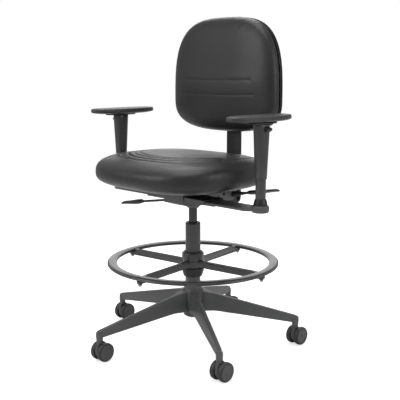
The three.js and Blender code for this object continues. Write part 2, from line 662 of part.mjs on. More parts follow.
/** The sleeve on the back of the shell that slides on the upright. */
function backCarrier() {
  const halfWidth = JBAR_HALF_WIDTH + 9;
  const outer = sideways(outlineOf([
    [SHELL_REAR + GAP, CARRIER_LOW], [JBAR_FRONT + JBAR_THICKNESS + 4, CARRIER_LOW],
    [JBAR_FRONT + JBAR_THICKNESS + 7, CARRIER_LOW + 8], [JBAR_FRONT + JBAR_THICKNESS + 7, CARRIER_TOP - 14],
    [JBAR_FRONT + JBAR_THICKNESS, CARRIER_TOP], [SHELL_REAR + GAP, CARRIER_TOP],
  ]), halfWidth);
  const slot = block(
    [-JBAR_HALF_WIDTH - GAP, JBAR_FRONT - GAP, CARRIER_LOW - 1],
    [JBAR_HALF_WIDTH + GAP, JBAR_FRONT + JBAR_THICKNESS + GAP, CARRIER_TOP - 6]);
  return piece('back_carrier', cut(outer, slot), BLACK_PLASTIC);
}

// ---------------------------------------------------------------- arms

/** The flat arm bar with the foot ring of the post at its outer end. */
function armBar() {
  const plate = slab(outlineOf([
    [BAR_INNER_END, BAR_FRONT], [POST_X - 24, BAR_FRONT], [POST_X, BAR_FRONT + 26],
    [POST_X, BAR_REAR - 8], [POST_X - 16, BAR_REAR], [BAR_INNER_END, BAR_REAR],
  ]), BAR_LOW, BAR_LOW + BAR_THICKNESS);
  const foot = turned([
    [0, FOOT_LOW], [FOOT_RADIUS - 2, FOOT_LOW], [FOOT_RADIUS, FOOT_LOW + 2], [FOOT_RADIUS, FOOT_TOP - 3],
    [FOOT_RADIUS - 3, FOOT_TOP], [0, FOOT_TOP],
  ], SEGMENTS).translate([POST_X, POST_Y, 0]);
  const bore = upright(TUBE_RADIUS + GAP, FOOT_LOW + 3, FOOT_TOP + 1, POST_X, POST_Y, SEGMENTS);
  return cut(join(plate, foot), bore);
}

/** The oval outer sleeve, round at its foot and deeper than wide at its head. */
function armSleeve() {
  const height = SLEEVE_TOP - SLEEVE_LOW;
  const column = new THREE.CylinderGeometry(1, 1, height, 24, 2).rotateX(Math.PI / 2);
  reshaped(column, ([x, y, z]) => {
    const up = z / height + 0.5;
    const halfX = between(SLEEVE_LOW_RADIUS, SLEEVE_TOP_HALF.x, up);
    const halfY = between(SLEEVE_LOW_RADIUS, SLEEVE_TOP_HALF.y, up);
    return [POST_X + x * halfX, POST_Y + y * halfY, SLEEVE_LOW + height * up];
  });
  const bore = upright(TUBE_RADIUS + GAP, SLEEVE_LOW - 1, SLEEVE_TOP - 10, POST_X, POST_Y, SEGMENTS);
  return cut(solid(column), bore);
}

/** The small squeeze trigger on the outboard side of the sleeve head. */
function armTrigger() {
  const near = POST_X + SLEEVE_TOP_HALF.x + 0.6;
  const shape = outlineOf([
    [near, TRIGGER_LOW + 2], [near + 5, TRIGGER_LOW], [near + 13, TRIGGER_LOW + 7],
    [near + 13, TRIGGER_LOW + 12], [near, TRIGGER_LOW + 17],
  ]);
  const options = { depth: 18, bevelEnabled: false };
  const body = new THREE.ExtrudeGeometry(shape, options).rotateX(Math.PI / 2);
  return solid(body.translate(0, POST_Y + 9, 0));
}

function armPadPieces() {
  const carrierLow = SLEEVE_TOP + GAP;
  const carrierTop = carrierLow + PAD_PLATE_THICKNESS;
  const plate = new THREE.Shape();
  plate.absellipse(POST_X, POST_Y, PAD_PLATE_HALF.x, PAD_PLATE_HALF.y, 0, 2 * Math.PI, false, 0);
  const carrier = slab(plate, carrierLow, carrierTop, 24);
  const reach = (angle) => squircle(angle, PAD_HALF.x, PAD_HALF.y, 2.3);
  const low = carrierTop + GAP;
  const widest = low + 10;
  const pad = padded(reach, (x, y, height, inward) => {
    const dish = 4 * (1 - inward ** 2);
    const z = height > 0 ? widest + (PAD_TOP - widest - dish) * height : widest + (widest - low) * height;
    return [PAD_CENTRE.x + x, PAD_CENTRE.y + y, z];
  }, { around: 28, over: 8, topRound: 3.6, lowRound: 2.6 });
  return { carrier, pad };
}

function arm(side, word) {
  const place = (body) => (side > 0 ? body : body.mirror([1, 0, 0]));
  const tube = turnedRing([
    [TUBE_RADIUS - 2.5, FOOT_LOW + 3 + GAP], [TUBE_RADIUS, FOOT_LOW + 3 + GAP],
    [TUBE_RADIUS, TUBE_TOP], [TUBE_RADIUS - 2.5, TUBE_TOP],
  ], SEGMENTS).translate([POST_X, POST_Y, 0]);
  const collar = turnedRing([
    [TUBE_RADIUS + GAP, FOOT_TOP + GAP], [FOOT_RADIUS - 5, FOOT_TOP + GAP],
    [FOOT_RADIUS - 8, COLLAR_TOP - 3], [TUBE_RADIUS + 1.8, COLLAR_TOP], [TUBE_RADIUS + GAP, COLLAR_TOP],
  ], SEGMENTS).translate([POST_X, POST_Y, 0]);
  const { carrier, pad } = armPadPieces();
  const group = new THREE.Group();
  group.add(piece(`arm_bar_${word}`, place(armBar()), PAINTED_METAL));
  group.add(piece(`arm_post_tube_${word}`, place(tube), PAINTED_METAL));
  group.add(piece(`arm_post_collar_${word}`, place(collar), BLACK_PLASTIC));
  group.add(piece(`arm_sleeve_${word}`, place(armSleeve()), GREY_PLASTIC));
  group.add(piece(`arm_trigger_${word}`, place(armTrigger()), BLACK_PLASTIC));
  group.add(piece(`arm_pad_plate_${word}`, place(carrier), BLACK_PLASTIC));
  group.add(piece(`arm_pad_${word}`, place(pad), PAD_SKIN));
  return group;
}

// ---------------------------------------------------------------- the whole chair

const chair = new THREE.Group();
chair.add(fiveStarBase());
for (let i = 0; i < LEGS; i += 1) {
  chair.add(caster(i));
}
chair.add(gasColumn());
chair.add(footRing(), footRingSpider(), footRingClamp());
chair.add(mechanism());
chair.add(seatPan(), seatCushion());
chair.add(backPads(), jBar(), backCarrier());
chair.add(arm(1, 'left'), arm(-1, 'right'));

const box = new THREE.Box3().setFromObject(chair, true);
chair.position.set(-(box.min.x + box.max.x) / 2, -(box.min.y + box.max.y) / 2, -box.min.z);

export default chair;
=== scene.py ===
"""Drafting chair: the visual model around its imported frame.

Lengths are millimetres in the chair's own frame, in which the gas column stands on the Z axis, the
chair faces -Y and +X is the sitter's left; `placed` turns such points into the frame's metres. Hard
parts are revolutions, lofts and rounded plates, and the seat and the back are inflated covers with
sewn lines.
"""
import sys
import logging
import math
from dataclasses import dataclass, field
from enum import Enum
from typing import Callable, Iterable, Sequence

import bpy
import numpy as np
from mathutils import Matrix, Vector, noise
from mathutils.bvhtree import BVHTree


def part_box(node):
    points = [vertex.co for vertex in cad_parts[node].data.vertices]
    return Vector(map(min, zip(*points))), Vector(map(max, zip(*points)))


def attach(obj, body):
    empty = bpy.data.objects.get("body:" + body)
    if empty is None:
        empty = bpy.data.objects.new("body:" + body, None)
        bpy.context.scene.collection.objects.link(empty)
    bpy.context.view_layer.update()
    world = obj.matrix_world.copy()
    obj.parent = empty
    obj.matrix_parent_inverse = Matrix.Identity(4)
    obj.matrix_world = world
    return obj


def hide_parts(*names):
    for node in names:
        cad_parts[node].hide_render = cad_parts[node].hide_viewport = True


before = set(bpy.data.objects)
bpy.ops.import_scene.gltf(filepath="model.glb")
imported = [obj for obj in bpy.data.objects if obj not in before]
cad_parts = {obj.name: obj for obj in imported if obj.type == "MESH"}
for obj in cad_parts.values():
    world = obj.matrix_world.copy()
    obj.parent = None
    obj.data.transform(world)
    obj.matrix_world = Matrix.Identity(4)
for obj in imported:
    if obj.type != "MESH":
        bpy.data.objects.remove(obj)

LOG = logging.getLogger("drafting_chair")
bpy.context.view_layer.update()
MM = 0.001
AXIS = (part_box("gas_column_tube")[0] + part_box("gas_column_tube")[1]) / 2
CENTRE = np.array((AXIS.x, AXIS.y, 0.0))
SMOOTH_BELOW = math.radians(38)
SIDES = ("left", "right")


# ---------------------------------------------------------------- frame and numbers


def placed(points: np.ndarray) -> np.ndarray:
    """Turns chair millimetres into frame metres.

    Args:
        points: Rows of x, y and z in chair millimetres.

    Returns:
        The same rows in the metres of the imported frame.
    """
    return np.asarray(points, float) * MM + CENTRE


def unplaced(points: np.ndarray) -> np.ndarray:
    """Turns frame metres into chair millimetres."""
    return (np.asarray(points, float) - CENTRE) / MM


def corners(node: str) -> tuple[np.ndarray, np.ndarray]:
    """Gives a CAD node's box in chair millimetres.

    Args:
        node: The CAD node's name.

    Returns:
        Its lowest and its highest corner.
    """
    low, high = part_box(node)
    return unplaced(low), unplaced(high)


def blend_step(value: float, low: float, high: float) -> float:
    """Rises smoothly from 0 at low to 1 at high.

    Args:
        value: Where to read the step.
        low: Where it leaves 0.
        high: Where it reaches 1.

    Returns:
        A number from 0 to 1.
    """
    t = min(1.0, max(0.0, (value - low) / (high - low)))
    return t * t * (3 - 2 * t)


def power(value: np.ndarray, exponent: float) -> np.ndarray:
    """Raises the size of a number to a power and keeps its sign."""
    return np.sign(value) * np.abs(value) ** exponent


def heading(degrees: float) -> np.ndarray:
    """Gives the floor direction at an angle from -Y towards +X."""
    turn = math.radians(degrees)
    return np.array((math.sin(turn), -math.cos(turn), 0.0))


# ---------------------------------------------------------------- surfaces


class Axis(Enum):
    """The axis that a form is turned about."""

    X = "X"
    Y = "Y"
    Z = "Z"


@dataclass(frozen=True)
class Form:
    """A closed surface: points in chair millimetres, and faces that name them."""

    points: np.ndarray
    faces: tuple[tuple[int, ...], ...]

    def moved(self, x: float = 0, y: float = 0, z: float = 0) -> "Form":
        """Returns the form shifted by x, y and z."""
        return Form(self.points + np.array((x, y, z)), self.faces)

    def turned(self, degrees: float, axis: Axis = Axis.Z) -> "Form":
        """Returns the form turned about an axis through the chair's origin."""
        spin = np.array(Matrix.Rotation(math.radians(degrees), 3, axis.value))
        return Form(self.points @ spin.T, self.faces)

    def sideways(self) -> "Form":
        """Returns the form with its outline in y and z and its thickness along X."""
        return Form(self.points[:, [2, 0, 1]], self.faces)

    def mirrored(self, wanted: bool = True) -> "Form":
        """Returns the form's mirror image across X, or the form itself if none is wanted."""
        if not wanted:
            return self
        return Form(self.points * np.array((-1, 1, 1)), self.faces).flipped()

    def flipped(self) -> "Form":
        """Returns the form with its faces turned to the other side."""
        return Form(self.points, tuple(f[::-1] for f in self.faces))

    def bent(self, rule: Callable[[np.ndarray], np.ndarray]) -> "Form":
        """Returns the form with every point moved by a rule."""
        return Form(rule(self.points.copy()), self.faces)

    def with_others(self, *others: "Form") -> "Form":
        """Returns one form that holds this one and others beside it."""
        points, faces = [self.points], list(self.faces)
        count = len(self.points)
        for other in others:
            points.append(other.points)
            faces.extend(tuple(i + count for i in f) for f in other.faces)
            count += len(other.points)
        return Form(np.vstack(points), tuple(faces))

    def build(self, name: str) -> bpy.types.Object:
        """Makes the form's object.

        Args:
            name: The object's name.

        Returns:
            A smooth-shaded mesh object whose sharp edges are marked.
        """
        mesh = bpy.data.meshes.new(name)
        mesh.from_pydata(placed(self.points).tolist(), [], [list(f) for f in self.faces])
        mesh.validate()
        obj = bpy.data.objects.new(name, mesh)
        bpy.context.scene.collection.objects.link(obj)
        shade(obj)
        return obj


def shade(obj: bpy.types.Object) -> None:
    """Shades a mesh smooth, apart from its sharp edges."""
    obj.data.shade_smooth()
    obj.data.set_sharp_from_angle(angle=SMOOTH_BELOW)


def rounded(outline: Sequence[Sequence[float]], closed: bool = True, steps: int = 4) -> np.ndarray:
    """Fillets the corners of a flat outline.

    Args:
        outline: Corners as (u, v) or (u, v, radius).
        closed: Whether the last corner joins the first.
        steps: Facets in each fillet.

    Returns:
        The points of the filleted outline, one row each.
    """
    at = [np.array(corner[:2], float) for corner in outline]
    count, points = len(at), []
    for i, corner in enumerate(outline):
        here, radius = at[i], corner[2] if len(corner) > 2 else 0
        if radius <= 0 or (not closed and i in (0, count - 1)):
            points.append(here)
            continue
        back, ahead = at[i - 1] - here, at[(i + 1) % count] - here
        room = 0.49 * min(np.linalg.norm(back), np.linalg.norm(ahead))
        back, ahead = back / np.linalg.norm(back), ahead / np.linalg.norm(ahead)
        half = math.acos(float(np.clip(back @ ahead, -1, 1))) / 2
        reach = min(radius / math.tan(half), room)
        size = reach * math.tan(half)
        centre = here + (back + ahead) / np.linalg.norm(back + ahead) * size / math.sin(half)
        first, last = here + back * reach - centre, here + ahead * reach - centre
        start = math.atan2(first[1], first[0])
        sweep = (math.atan2(last[1], last[0]) - start + math.pi) % (2 * math.pi) - math.pi
        for k in range(steps + 1):
            angle = start + sweep * k / steps
            points.append(centre + size * np.array((math.cos(angle), math.sin(angle))))
    return np.array(points)


def revolve(profile: np.ndarray, sides: int = 72, ring: bool = False) -> Form:
    """Turns a profile about Z.

    Args:
        profile: Rows of radius and height.
        sides: Facets round the axis.
        ring: Whether the profile is a closed outline that stays off the axis.

    Returns:
        The closed form.
    """
    turn = np.linspace(0, 2 * math.pi, sides, endpoint=False)
    points, rows = [], []
    for radius, height in profile:
        around = [(0, 0, height)] if radius < 1e-6 else [
            (radius * math.cos(a), radius * math.sin(a), height) for a in turn]
        rows.append(range(len(points), len(points) + len(around)))
        points.extend(around)
    faces = []
    pairs = list(zip(rows, rows[1:])) + ([(rows[-1], rows[0])] if ring else [])
    for low, high in pairs:
        for i in range(sides):
            j = (i + 1) % sides
            face = dict.fromkeys((low[i % len(low)], low[j % len(low)], high[j % len(high)],
                                  high[i % len(high)]))
            if len(face) > 2:
                faces.append(tuple(face))
    return Form(np.array(points, float), tuple(faces))


def turned_solid(outline: Sequence[Sequence[float]], sides: int, steps: int = 4) -> Form:
    """Turns an outline that starts and ends on the axis, with its corners filleted."""
    return revolve(rounded(outline, closed=False, steps=steps), sides)


def turned_ring(outline: Sequence[Sequence[float]], sides: int) -> Form:
    """Turns a closed outline that stays off the axis, with its corners filleted."""
    return revolve(rounded(outline), sides, ring=True)


def rod(radius: float, low: float, high: float, sides: int) -> Form:
    """Returns a plain round rod on the axis, to cut a bore with."""
    return revolve(np.array([(0, low), (radius, low), (radius, high), (0, high)]), sides)


def gathered(forms: Sequence[Form]) -> Form:
    """Returns one form that holds several."""
    return forms[0].with_others(*forms[1:])


def loft(rings: Sequence[np.ndarray], joined: bool = False) -> Form:
    """Skins a row of rings that have equally many points.

    Args:
        rings: The rings, each with one row for a point.
        joined: Whether the last ring meets the first, and not an end cap.

    Returns:
        The closed form.
    """
    size, count = len(rings[0]), len(rings)
    faces = []
    for r in range(count if joined else count - 1):
        low, high = r * size, (r + 1) % count * size
        faces.extend((low + i, low + (i + 1) % size, high + (i + 1) % size, high + i)
                     for i in range(size))
    if not joined:
        faces.append(tuple(range(size))[::-1])
        faces.append(tuple(range((count - 1) * size, count * size)))
    return Form(np.vstack(rings), tuple(faces))


def plate(outline: np.ndarray, low: float, high: float, edge: float = 1.0, steps: int = 3) -> Form:
    """Thickens an outline drawn from above, with rounded rims.

    Args:
        outline: Rows of x and y, anticlockwise.
        low: Height of the underside.
        high: Height of the top.
        edge: Radius of the rims.
        steps: Facets in each rim.

    Returns:
        The closed form.
    """
    along = np.roll(outline, -1, 0) - np.roll(outline, 1, 0)
    inward = np.column_stack((-along[:, 1], along[:, 0]))
    inward /= np.linalg.norm(inward, axis=1)[:, None]
    edge = min(edge, (high - low) / 2.01)
    rings = []
    for k in range(2 * steps + 2):
        upper = k > steps
        angle = math.pi / 2 * ((k - steps - 1) / steps if upper else (k / steps - 1))
        height = high - edge + edge * math.sin(angle) if upper else low + edge + edge * math.sin(angle)
        inset = edge * (1 - math.cos(angle))
        rings.append(np.column_stack((outline + inward * inset, np.full(len(outline), height))))
    return loft(rings)


def oval(half_u: float, half_v: float, exponent: float = 2.0, count: int = 48) -> np.ndarray:
    """Draws a rounded-rectangle curve about the origin.

    Args:
        half_u: Half its first size.
        half_v: Half its second size.
        exponent: 2 for an ellipse, more for squarer corners.
        count: Points in the curve.

    Returns:
        The curve's points, anticlockwise.
    """
    turn = np.linspace(0, 2 * math.pi, count, endpoint=False)
    reach = squircle(turn, half_u, half_v, exponent)
    return np.column_stack((reach * np.cos(turn), reach * np.sin(turn)))


def squircle(turn: np.ndarray, half_u: float, half_v: float, exponent: float) -> np.ndarray:
    """Gives the distance from the centre of a rounded rectangle to its edge at each angle."""
    total = np.abs(np.cos(turn) / half_u) ** exponent + np.abs(np.sin(turn) / half_v) ** exponent
    return total ** (-1 / exponent)


def padded(reach: Callable[[np.ndarray], np.ndarray], rule: Callable[..., np.ndarray],
           rounds: tuple[float, float], around: int = 96, over: int = 40) -> Form:
    """Makes a pad from a ball that is squared off towards an outline.

    Args:
        reach: The outline's distance from the centre at each angle.
        rule: Maps the outline's two coordinates, the signed height and the share of the way out
            to points.
        rounds: How square the section is above and below its widest line.
        around: Facets round the outline.
        over: Facets from the top to the underside.

    Returns:
        The closed form.
    """
    turn = np.linspace(0, 2 * math.pi, around, endpoint=False)
    rings = []
    for k in range(1, over):
        tilt = math.pi * k / over
        round_ = rounds[0] if tilt < math.pi / 2 else rounds[1]
        inward = math.sin(tilt) ** (2 / round_)
        height = float(power(np.array(math.cos(tilt)), 2 / round_))
        edge = reach(turn) * inward
        rings.append(rule(edge * np.cos(turn), edge * np.sin(turn), height, inward))
    return loft(rings)


def cord(path: np.ndarray, radius: float, normals: np.ndarray, closed: bool, sides: int = 8) -> Form:
    """Runs a round cord along a path.

    Args:
        path: The points that it follows.
        radius: The cord's radius.
        normals: A direction across the path at each point.
        closed: Whether the path's end meets its start.
        sides: Facets round the cord.

    Returns:
        The closed form.
    """
    along = np.roll(path, -1, 0) - np.roll(path, 1, 0)
    if not closed:
        along[0], along[-1] = path[1] - path[0], path[-1] - path[-2]
    along /= np.linalg.norm(along, axis=1)[:, None]
    across = np.cross(along, normals)
    across /= np.linalg.norm(across, axis=1)[:, None]
    up = np.cross(across, along)
    turn = np.linspace(0, 2 * math.pi, sides, endpoint=False)
    rings = [p + radius * (np.outer(np.cos(turn), a) + np.outer(np.sin(turn), u))
             for p, a, u in zip(path, across, up)]
    return loft(rings[::-1], joined=closed)


def settle(obj: bpy.types.Object) -> None:
    """Applies every modifier of an object to its mesh."""
    graph = bpy.context.evaluated_depsgraph_get()
    mesh = bpy.data.meshes.new_from_object(obj.evaluated_get(graph))
    mesh.name = obj.name
    obj.modifiers.clear()
    obj.data = mesh


def carved(name: str, body: Form, added: Iterable[Form] = (), taken: Iterable[Form] = ()
           ) -> bpy.types.Object:
    """Joins closed forms to a body and cuts others from it.

    Args:
        name: The object's name.
        body: The form to start from.
        added: Forms that are joined to it.
        taken: Forms that are cut from it.

    Returns:
        The finished object.
    """
    obj = body.build(name)
    jobs = [(form, "UNION") for form in added] + [(form, "DIFFERENCE") for form in taken]
    for form, operation in jobs:
        tool = form.build(f"{name}_tool")
        job = obj.modifiers.new("carve", "BOOLEAN")
        job.operation, job.solver, job.object = operation, "MANIFOLD", tool
        settle(obj)
        bpy.data.objects.remove(tool)
    shade(obj)
    return obj


def points_of(obj: bpy.types.Object) -> np.ndarray:
    """Reads a mesh object's points, in frame metres."""
    points = np.zeros(len(obj.data.vertices) * 3)
    obj.data.vertices.foreach_get("co", points)
    return points.reshape(-1, 3)


def write_points(obj: bpy.types.Object, points: np.ndarray) -> None:
    """Writes a mesh object's points, in frame metres."""
    obj.data.vertices.foreach_set("co", points.ravel())
    obj.data.update()


# ---------------------------------------------------------------- finishes


class Grain(Enum):
    """The fine relief of a surface, by the name of the shader group that makes it."""

    LEATHER = "leather_grain"
    MOULDED = "moulded_texture"
    PAINT = "paint_peel"
    TURNED = "turned_lines"


class Graph:
    """A short way to make and link the nodes of one tree."""

    def __init__(self, tree: bpy.types.NodeTree) -> None:
        """Starts on a node tree."""
        self.tree = tree

    def node(self, kind: str, values: dict | None = None, **settings: object) -> bpy.types.Node:
        """Adds a node.

        Args:
            kind: The node's type.
            values: What each input socket is set or linked to, by its name or number.
            **settings: The node's own properties.

        Returns:
            The new node.
        """
        made = self.tree.nodes.new(kind)
        for key, value in settings.items():
            setattr(made, key, value)
        for key, value in (values or {}).items():
            if isinstance(value, bpy.types.NodeSocket):
                self.tree.links.new(value, made.inputs[key])
            else:
                made.inputs[key].default_value = value
        return made

    def maths(self, operation: str, *values: object) -> bpy.types.NodeSocket:
        """Adds a maths node and returns its result."""
        return self.node("ShaderNodeMath", dict(enumerate(values)), operation=operation).outputs[0]

    def ranged(self, value: object, *limits: float) -> bpy.types.NodeSocket:
        """Maps a value between two ranges, clamped, and returns the result."""
        return self.node("ShaderNodeMapRange", {i: v for i, v in enumerate((value, *limits))}).outputs[0]

    def clouds(self, at: object, scale: object, **values: float) -> bpy.types.Node:
        """Adds a noise texture and returns its node."""
        return self.node("ShaderNodeTexNoise", {"Vector": at, "Scale": scale, **values})

    def give(self, out: bpy.types.Node, name: str, value: bpy.types.NodeSocket) -> None:
        """Links a value to one of the group's outputs."""
        self.tree.links.new(value, out.inputs[name])

    def mixed(self, share: object, first: object, second: object) -> bpy.types.NodeSocket:
        """Mixes two colours and returns the result."""
        return self.node("ShaderNodeMix", {0: share, 6: first, 7: second}, data_type="RGBA").outputs[2]


def new_group(name: str, numbers: dict[str, float], outputs: Sequence[str]
              ) -> tuple[Graph, bpy.types.Node, bpy.types.Node]:
    """Starts a shader group that has a Vector input and number inputs.

    Args:
        name: The group's name.
        numbers: The number inputs and their defaults.
        outputs: The number outputs.

    Returns:
        The group's graph, its input node and its output node.
    """
    tree = bpy.data.node_groups.new(name, "ShaderNodeTree")
    tree.interface.new_socket("Vector", in_out="INPUT", socket_type="NodeSocketVector")
    for key, value in numbers.items():
        socket = tree.interface.new_socket(key, in_out="INPUT", socket_type="NodeSocketFloat")
        socket.default_value = value
    for key in outputs:
        tree.interface.new_socket(key, in_out="OUTPUT", socket_type="NodeSocketFloat")
    graph = Graph(tree)
    return graph, graph.node("NodeGroupInput"), graph.node("NodeGroupOutput")


def leather_grain() -> None:
    """Builds the pebbled relief of embossed vinyl: small cells over soft waves."""
    graph, given, out = new_group(Grain.LEATHER.value, {"Scale": 620.0}, ["Height"])
    at, scale = given.outputs["Vector"], given.outputs["Scale"]
    bend = graph.clouds(at, 160.0)
    shift = graph.node("ShaderNodeVectorMath", {0: bend.outputs["Color"], "Scale": 0.0016}, operation="SCALE")
    bent = graph.node("ShaderNodeVectorMath", {0: at, 1: shift.outputs[0]})
    cells = graph.node("ShaderNodeTexVoronoi", {"Vector": bent.outputs[0], "Scale": scale},
                       feature="DISTANCE_TO_EDGE")
    pebbles = graph.ranged(cells.outputs["Distance"], 0.0, 0.28, 0.0, 1.0)
    waves = graph.clouds(at, 45.0, Detail=3.0)
    graph.give(out, "Height", graph.maths("MULTIPLY_ADD", waves.outputs[0], 1.6, pebbles))


def moulded_texture() -> None:
    """Builds the fine spark-eroded texture of a moulding."""
    graph, given, out = new_group(Grain.MOULDED.value, {"Scale": 900.0}, ["Height"])
    fine = graph.clouds(given.outputs["Vector"], given.outputs["Scale"], Detail=4.0)
    flow = graph.clouds(given.outputs["Vector"], 30.0)
    graph.give(out, "Height", graph.maths("MULTIPLY_ADD", flow.outputs[0], 0.8, fine.outputs[0]))


def paint_peel() -> None:
    """Builds the soft orange peel of a sprayed or powder coat."""
    graph, given, out = new_group(Grain.PAINT.value, {"Scale": 420.0}, ["Height"])
    peel = graph.node("ShaderNodeTexVoronoi", {"Vector": given.outputs["Vector"],
                                               "Scale": given.outputs["Scale"]}, feature="SMOOTH_F1")
    fine = graph.clouds(given.outputs["Vector"], 1500.0)
    graph.give(out, "Height", graph.maths("MULTIPLY_ADD", fine.outputs[0], 0.4, peel.outputs["Distance"]))


def turned_lines() -> None:
    """Builds the fine rings that a lathe leaves on steel."""
    graph, given, out = new_group(Grain.TURNED.value, {"Scale": 900.0}, ["Height"])
    spread = graph.node("ShaderNodeMapping", {"Vector": given.outputs["Vector"], "Scale": (0.05, 0.05, 1.0)})
    graph.give(out, "Height", graph.clouds(spread.outputs[0], given.outputs["Scale"], Detail=3.0).outputs[0])


def edge_wear() -> None:
    """Builds the mask of rubbed edges: where a rounded normal leaves the true one, broken by noise."""
    graph, given, out = new_group("edge_wear", {"Radius": 0.002, "Amount": 0.5}, ["Mask"])
    soft = graph.node("ShaderNodeBevel", {"Radius": given.outputs["Radius"]}, samples=4)
    true = graph.node("ShaderNodeNewGeometry")
    match = graph.node("ShaderNodeVectorMath", {0: soft.outputs[0], 1: true.outputs["Normal"]},
                       operation="DOT_PRODUCT")
    edge = graph.ranged(match.outputs["Value"], 0.995, 0.86, 0.0, 1.0)
    patches = graph.clouds(given.outputs["Vector"], 70.0, Detail=5.0)
    broken = graph.ranged(patches.outputs[0], 0.42, 0.66, 0.15, 1.0)
    rubbed = graph.maths("MULTIPLY", edge, broken)
    graph.give(out, "Mask", graph.maths("MULTIPLY", rubbed, given.outputs["Amount"]))


def settled_dust() -> None:
    """Builds the mask of dust: on faces that look up, in soft clouds."""
    graph, given, out = new_group("settled_dust", {"Amount": 0.1}, ["Mask"])
    true = graph.node("ShaderNodeNewGeometry")
    split = graph.node("ShaderNodeSeparateXYZ", {0: true.outputs["Normal"]})
    upward = graph.ranged(split.outputs["Z"], 0.35, 1.0, 0.0, 1.0)
    cloud = graph.clouds(given.outputs["Vector"], 14.0, Detail=6.0)
    lying = graph.maths("MULTIPLY", upward, graph.ranged(cloud.outputs[0], 0.35, 0.75, 0.2, 1.0))
    graph.give(out, "Mask", graph.maths("MULTIPLY", lying, given.outputs["Amount"]))


def uneven_tone() -> None:
    """Builds a mask that drifts slowly over a surface, with a finer mottle on it."""
    graph, given, out = new_group("uneven_tone", {"Scale": 9.0}, ["Mask"])
    wide = graph.clouds(given.outputs["Vector"], given.outputs["Scale"], Detail=5.0)
    fine = graph.clouds(given.outputs["Vector"], 260.0)
    total = graph.maths("MULTIPLY_ADD", fine.outputs[0], 0.25, wide.outputs[0])
    graph.give(out, "Mask", graph.ranged(total, 0.4, 0.85, 0.0, 1.0))


@dataclass(frozen=True)
class Finish:
    """One finish: the colours, gloss and relief of a material slot."""

    name: str
    slot: str
    dark: float
    light: float
    roughness: tuple[float, float]
    grain: Grain
    grain_scale: float
    relief: float
    metallic: float = 0.0
    coat: float = 0.0
    wear: float = 0.0
    worn: float = 0.2
    dust: float = 0.06
    tint: tuple[float, float, float] = (0.985, 1.0, 1.005)

    def shade_of(self, level: float) -> tuple[float, float, float, float]:
        """Returns a grey level as a colour with the finish's tint."""
        return (*(level * part for part in self.tint), 1.0)

    def material(self) -> bpy.types.Material:
        """Makes the finish's material once, and returns it."""
        if self.name in bpy.data.materials:
            return bpy.data.materials[self.name]
        made = bpy.data.materials.new(self.name)
        made.use_nodes = True
        made.node_tree.nodes.clear()
        graph = Graph(made.node_tree)
        at = graph.node("ShaderNodeTexCoord").outputs["Object"]
        tone = self.placed_group(graph, "uneven_tone", at).outputs["Mask"]
        colour = graph.mixed(tone, self.shade_of(self.dark), self.shade_of(self.light))
        rough = graph.ranged(tone, 0.0, 1.0, *self.roughness)
        if self.wear:
            worn = self.placed_group(graph, "edge_wear", at, Amount=self.wear).outputs["Mask"]
            colour = graph.mixed(worn, colour, self.shade_of(self.worn))
        if self.dust:
            dust = self.placed_group(graph, "settled_dust", at, Amount=self.dust).outputs["Mask"]
            colour = graph.mixed(dust, colour, (0.33, 0.32, 0.31, 1.0))
            rough = graph.maths("MULTIPLY_ADD", dust, 0.5, rough)
        relief = self.placed_group(graph, self.grain.value, at, Scale=self.grain_scale)
        bump = graph.node("ShaderNodeBump", {"Strength": 0.6, "Distance": self.relief * MM,
                                             "Height": relief.outputs["Height"]})
        shader = graph.node("ShaderNodeBsdfPrincipled", {
            "Base Color": colour, "Roughness": rough, "Metallic": self.metallic,
            "Coat Weight": self.coat, "Coat Roughness": 0.18, "Normal": bump.outputs[0]})
        graph.node("ShaderNodeOutputMaterial", {"Surface": shader.outputs[0]})
        return made

    def placed_group(self, graph: Graph, group: str, at: bpy.types.NodeSocket, **values: float
                     ) -> bpy.types.Node:
        """Places a shared group in the material.

        Args:
            graph: The material's graph.
            group: The group's name.
            at: Where on the surface it is read.
            **values: The group's own numbers.

        Returns:
            The group's node.
        """
        node = graph.node("ShaderNodeGroup", node_tree=bpy.data.node_groups[group])
        graph.tree.links.new(at, node.inputs["Vector"])
        for key, value in values.items():
            node.inputs[key].default_value = value
        return node


VINYL = Finish("black_vinyl", "vinyl", 0.009, 0.015, (0.38, 0.5), Grain.LEATHER, 620, 0.16,
               coat=0.12, dust=0.05)
THREAD = Finish("seam_thread", "vinyl", 0.012, 0.02, (0.6, 0.75), Grain.MOULDED, 1800, 0.1, dust=0.0)
# The welts are real piping of the same vinyl, coloured lighter than the cover as a painted highlight along
# the seams.
HIGHLIT_WELT = Finish("seam_welt_painted_highlight", "vinyl", 0.018, 0.026, (0.32, 0.42), Grain.LEATHER, 900, 0.1, dust=0.03)
SHELL = Finish("shell_moulding", "black_plastic", 0.014, 0.022, (0.42, 0.56), Grain.MOULDED, 900, 0.12,
               wear=0.35, worn=0.05)
BLACK = Finish("black_moulding", "black_plastic", 0.011, 0.02, (0.36, 0.5), Grain.MOULDED, 1100, 0.08,
               wear=0.45, worn=0.06)
NYLON = Finish("base_moulding", "base_nylon", 0.08, 0.11, (0.34, 0.46), Grain.MOULDED, 800, 0.12,
               wear=0.5, worn=0.16, dust=0.1)
CASTER = Finish("caster_moulding", "caster_grey", 0.055, 0.08, (0.32, 0.42), Grain.MOULDED, 1000, 0.08,
                wear=0.5, worn=0.2)
TREAD = Finish("caster_tyre", "caster_tread", 0.022, 0.034, (0.4, 0.55), Grain.MOULDED, 600, 0.2,
               wear=0.6, worn=0.09, dust=0.2)
PIN = Finish("turned_steel", "pin_steel", 0.42, 0.55, (0.2, 0.34), Grain.TURNED, 1400, 0.03, metallic=1.0,
             dust=0.03)
COLUMN = Finish("column_coat", "column_paint", 0.05, 0.066, (0.22, 0.3), Grain.PAINT, 420, 0.05, coat=0.3,
                wear=0.4, worn=0.2)
PISTON = Finish("piston_coat", "piston_steel", 0.05, 0.075, (0.16, 0.26), Grain.TURNED, 1600, 0.03,
                metallic=0.85, dust=0.0)
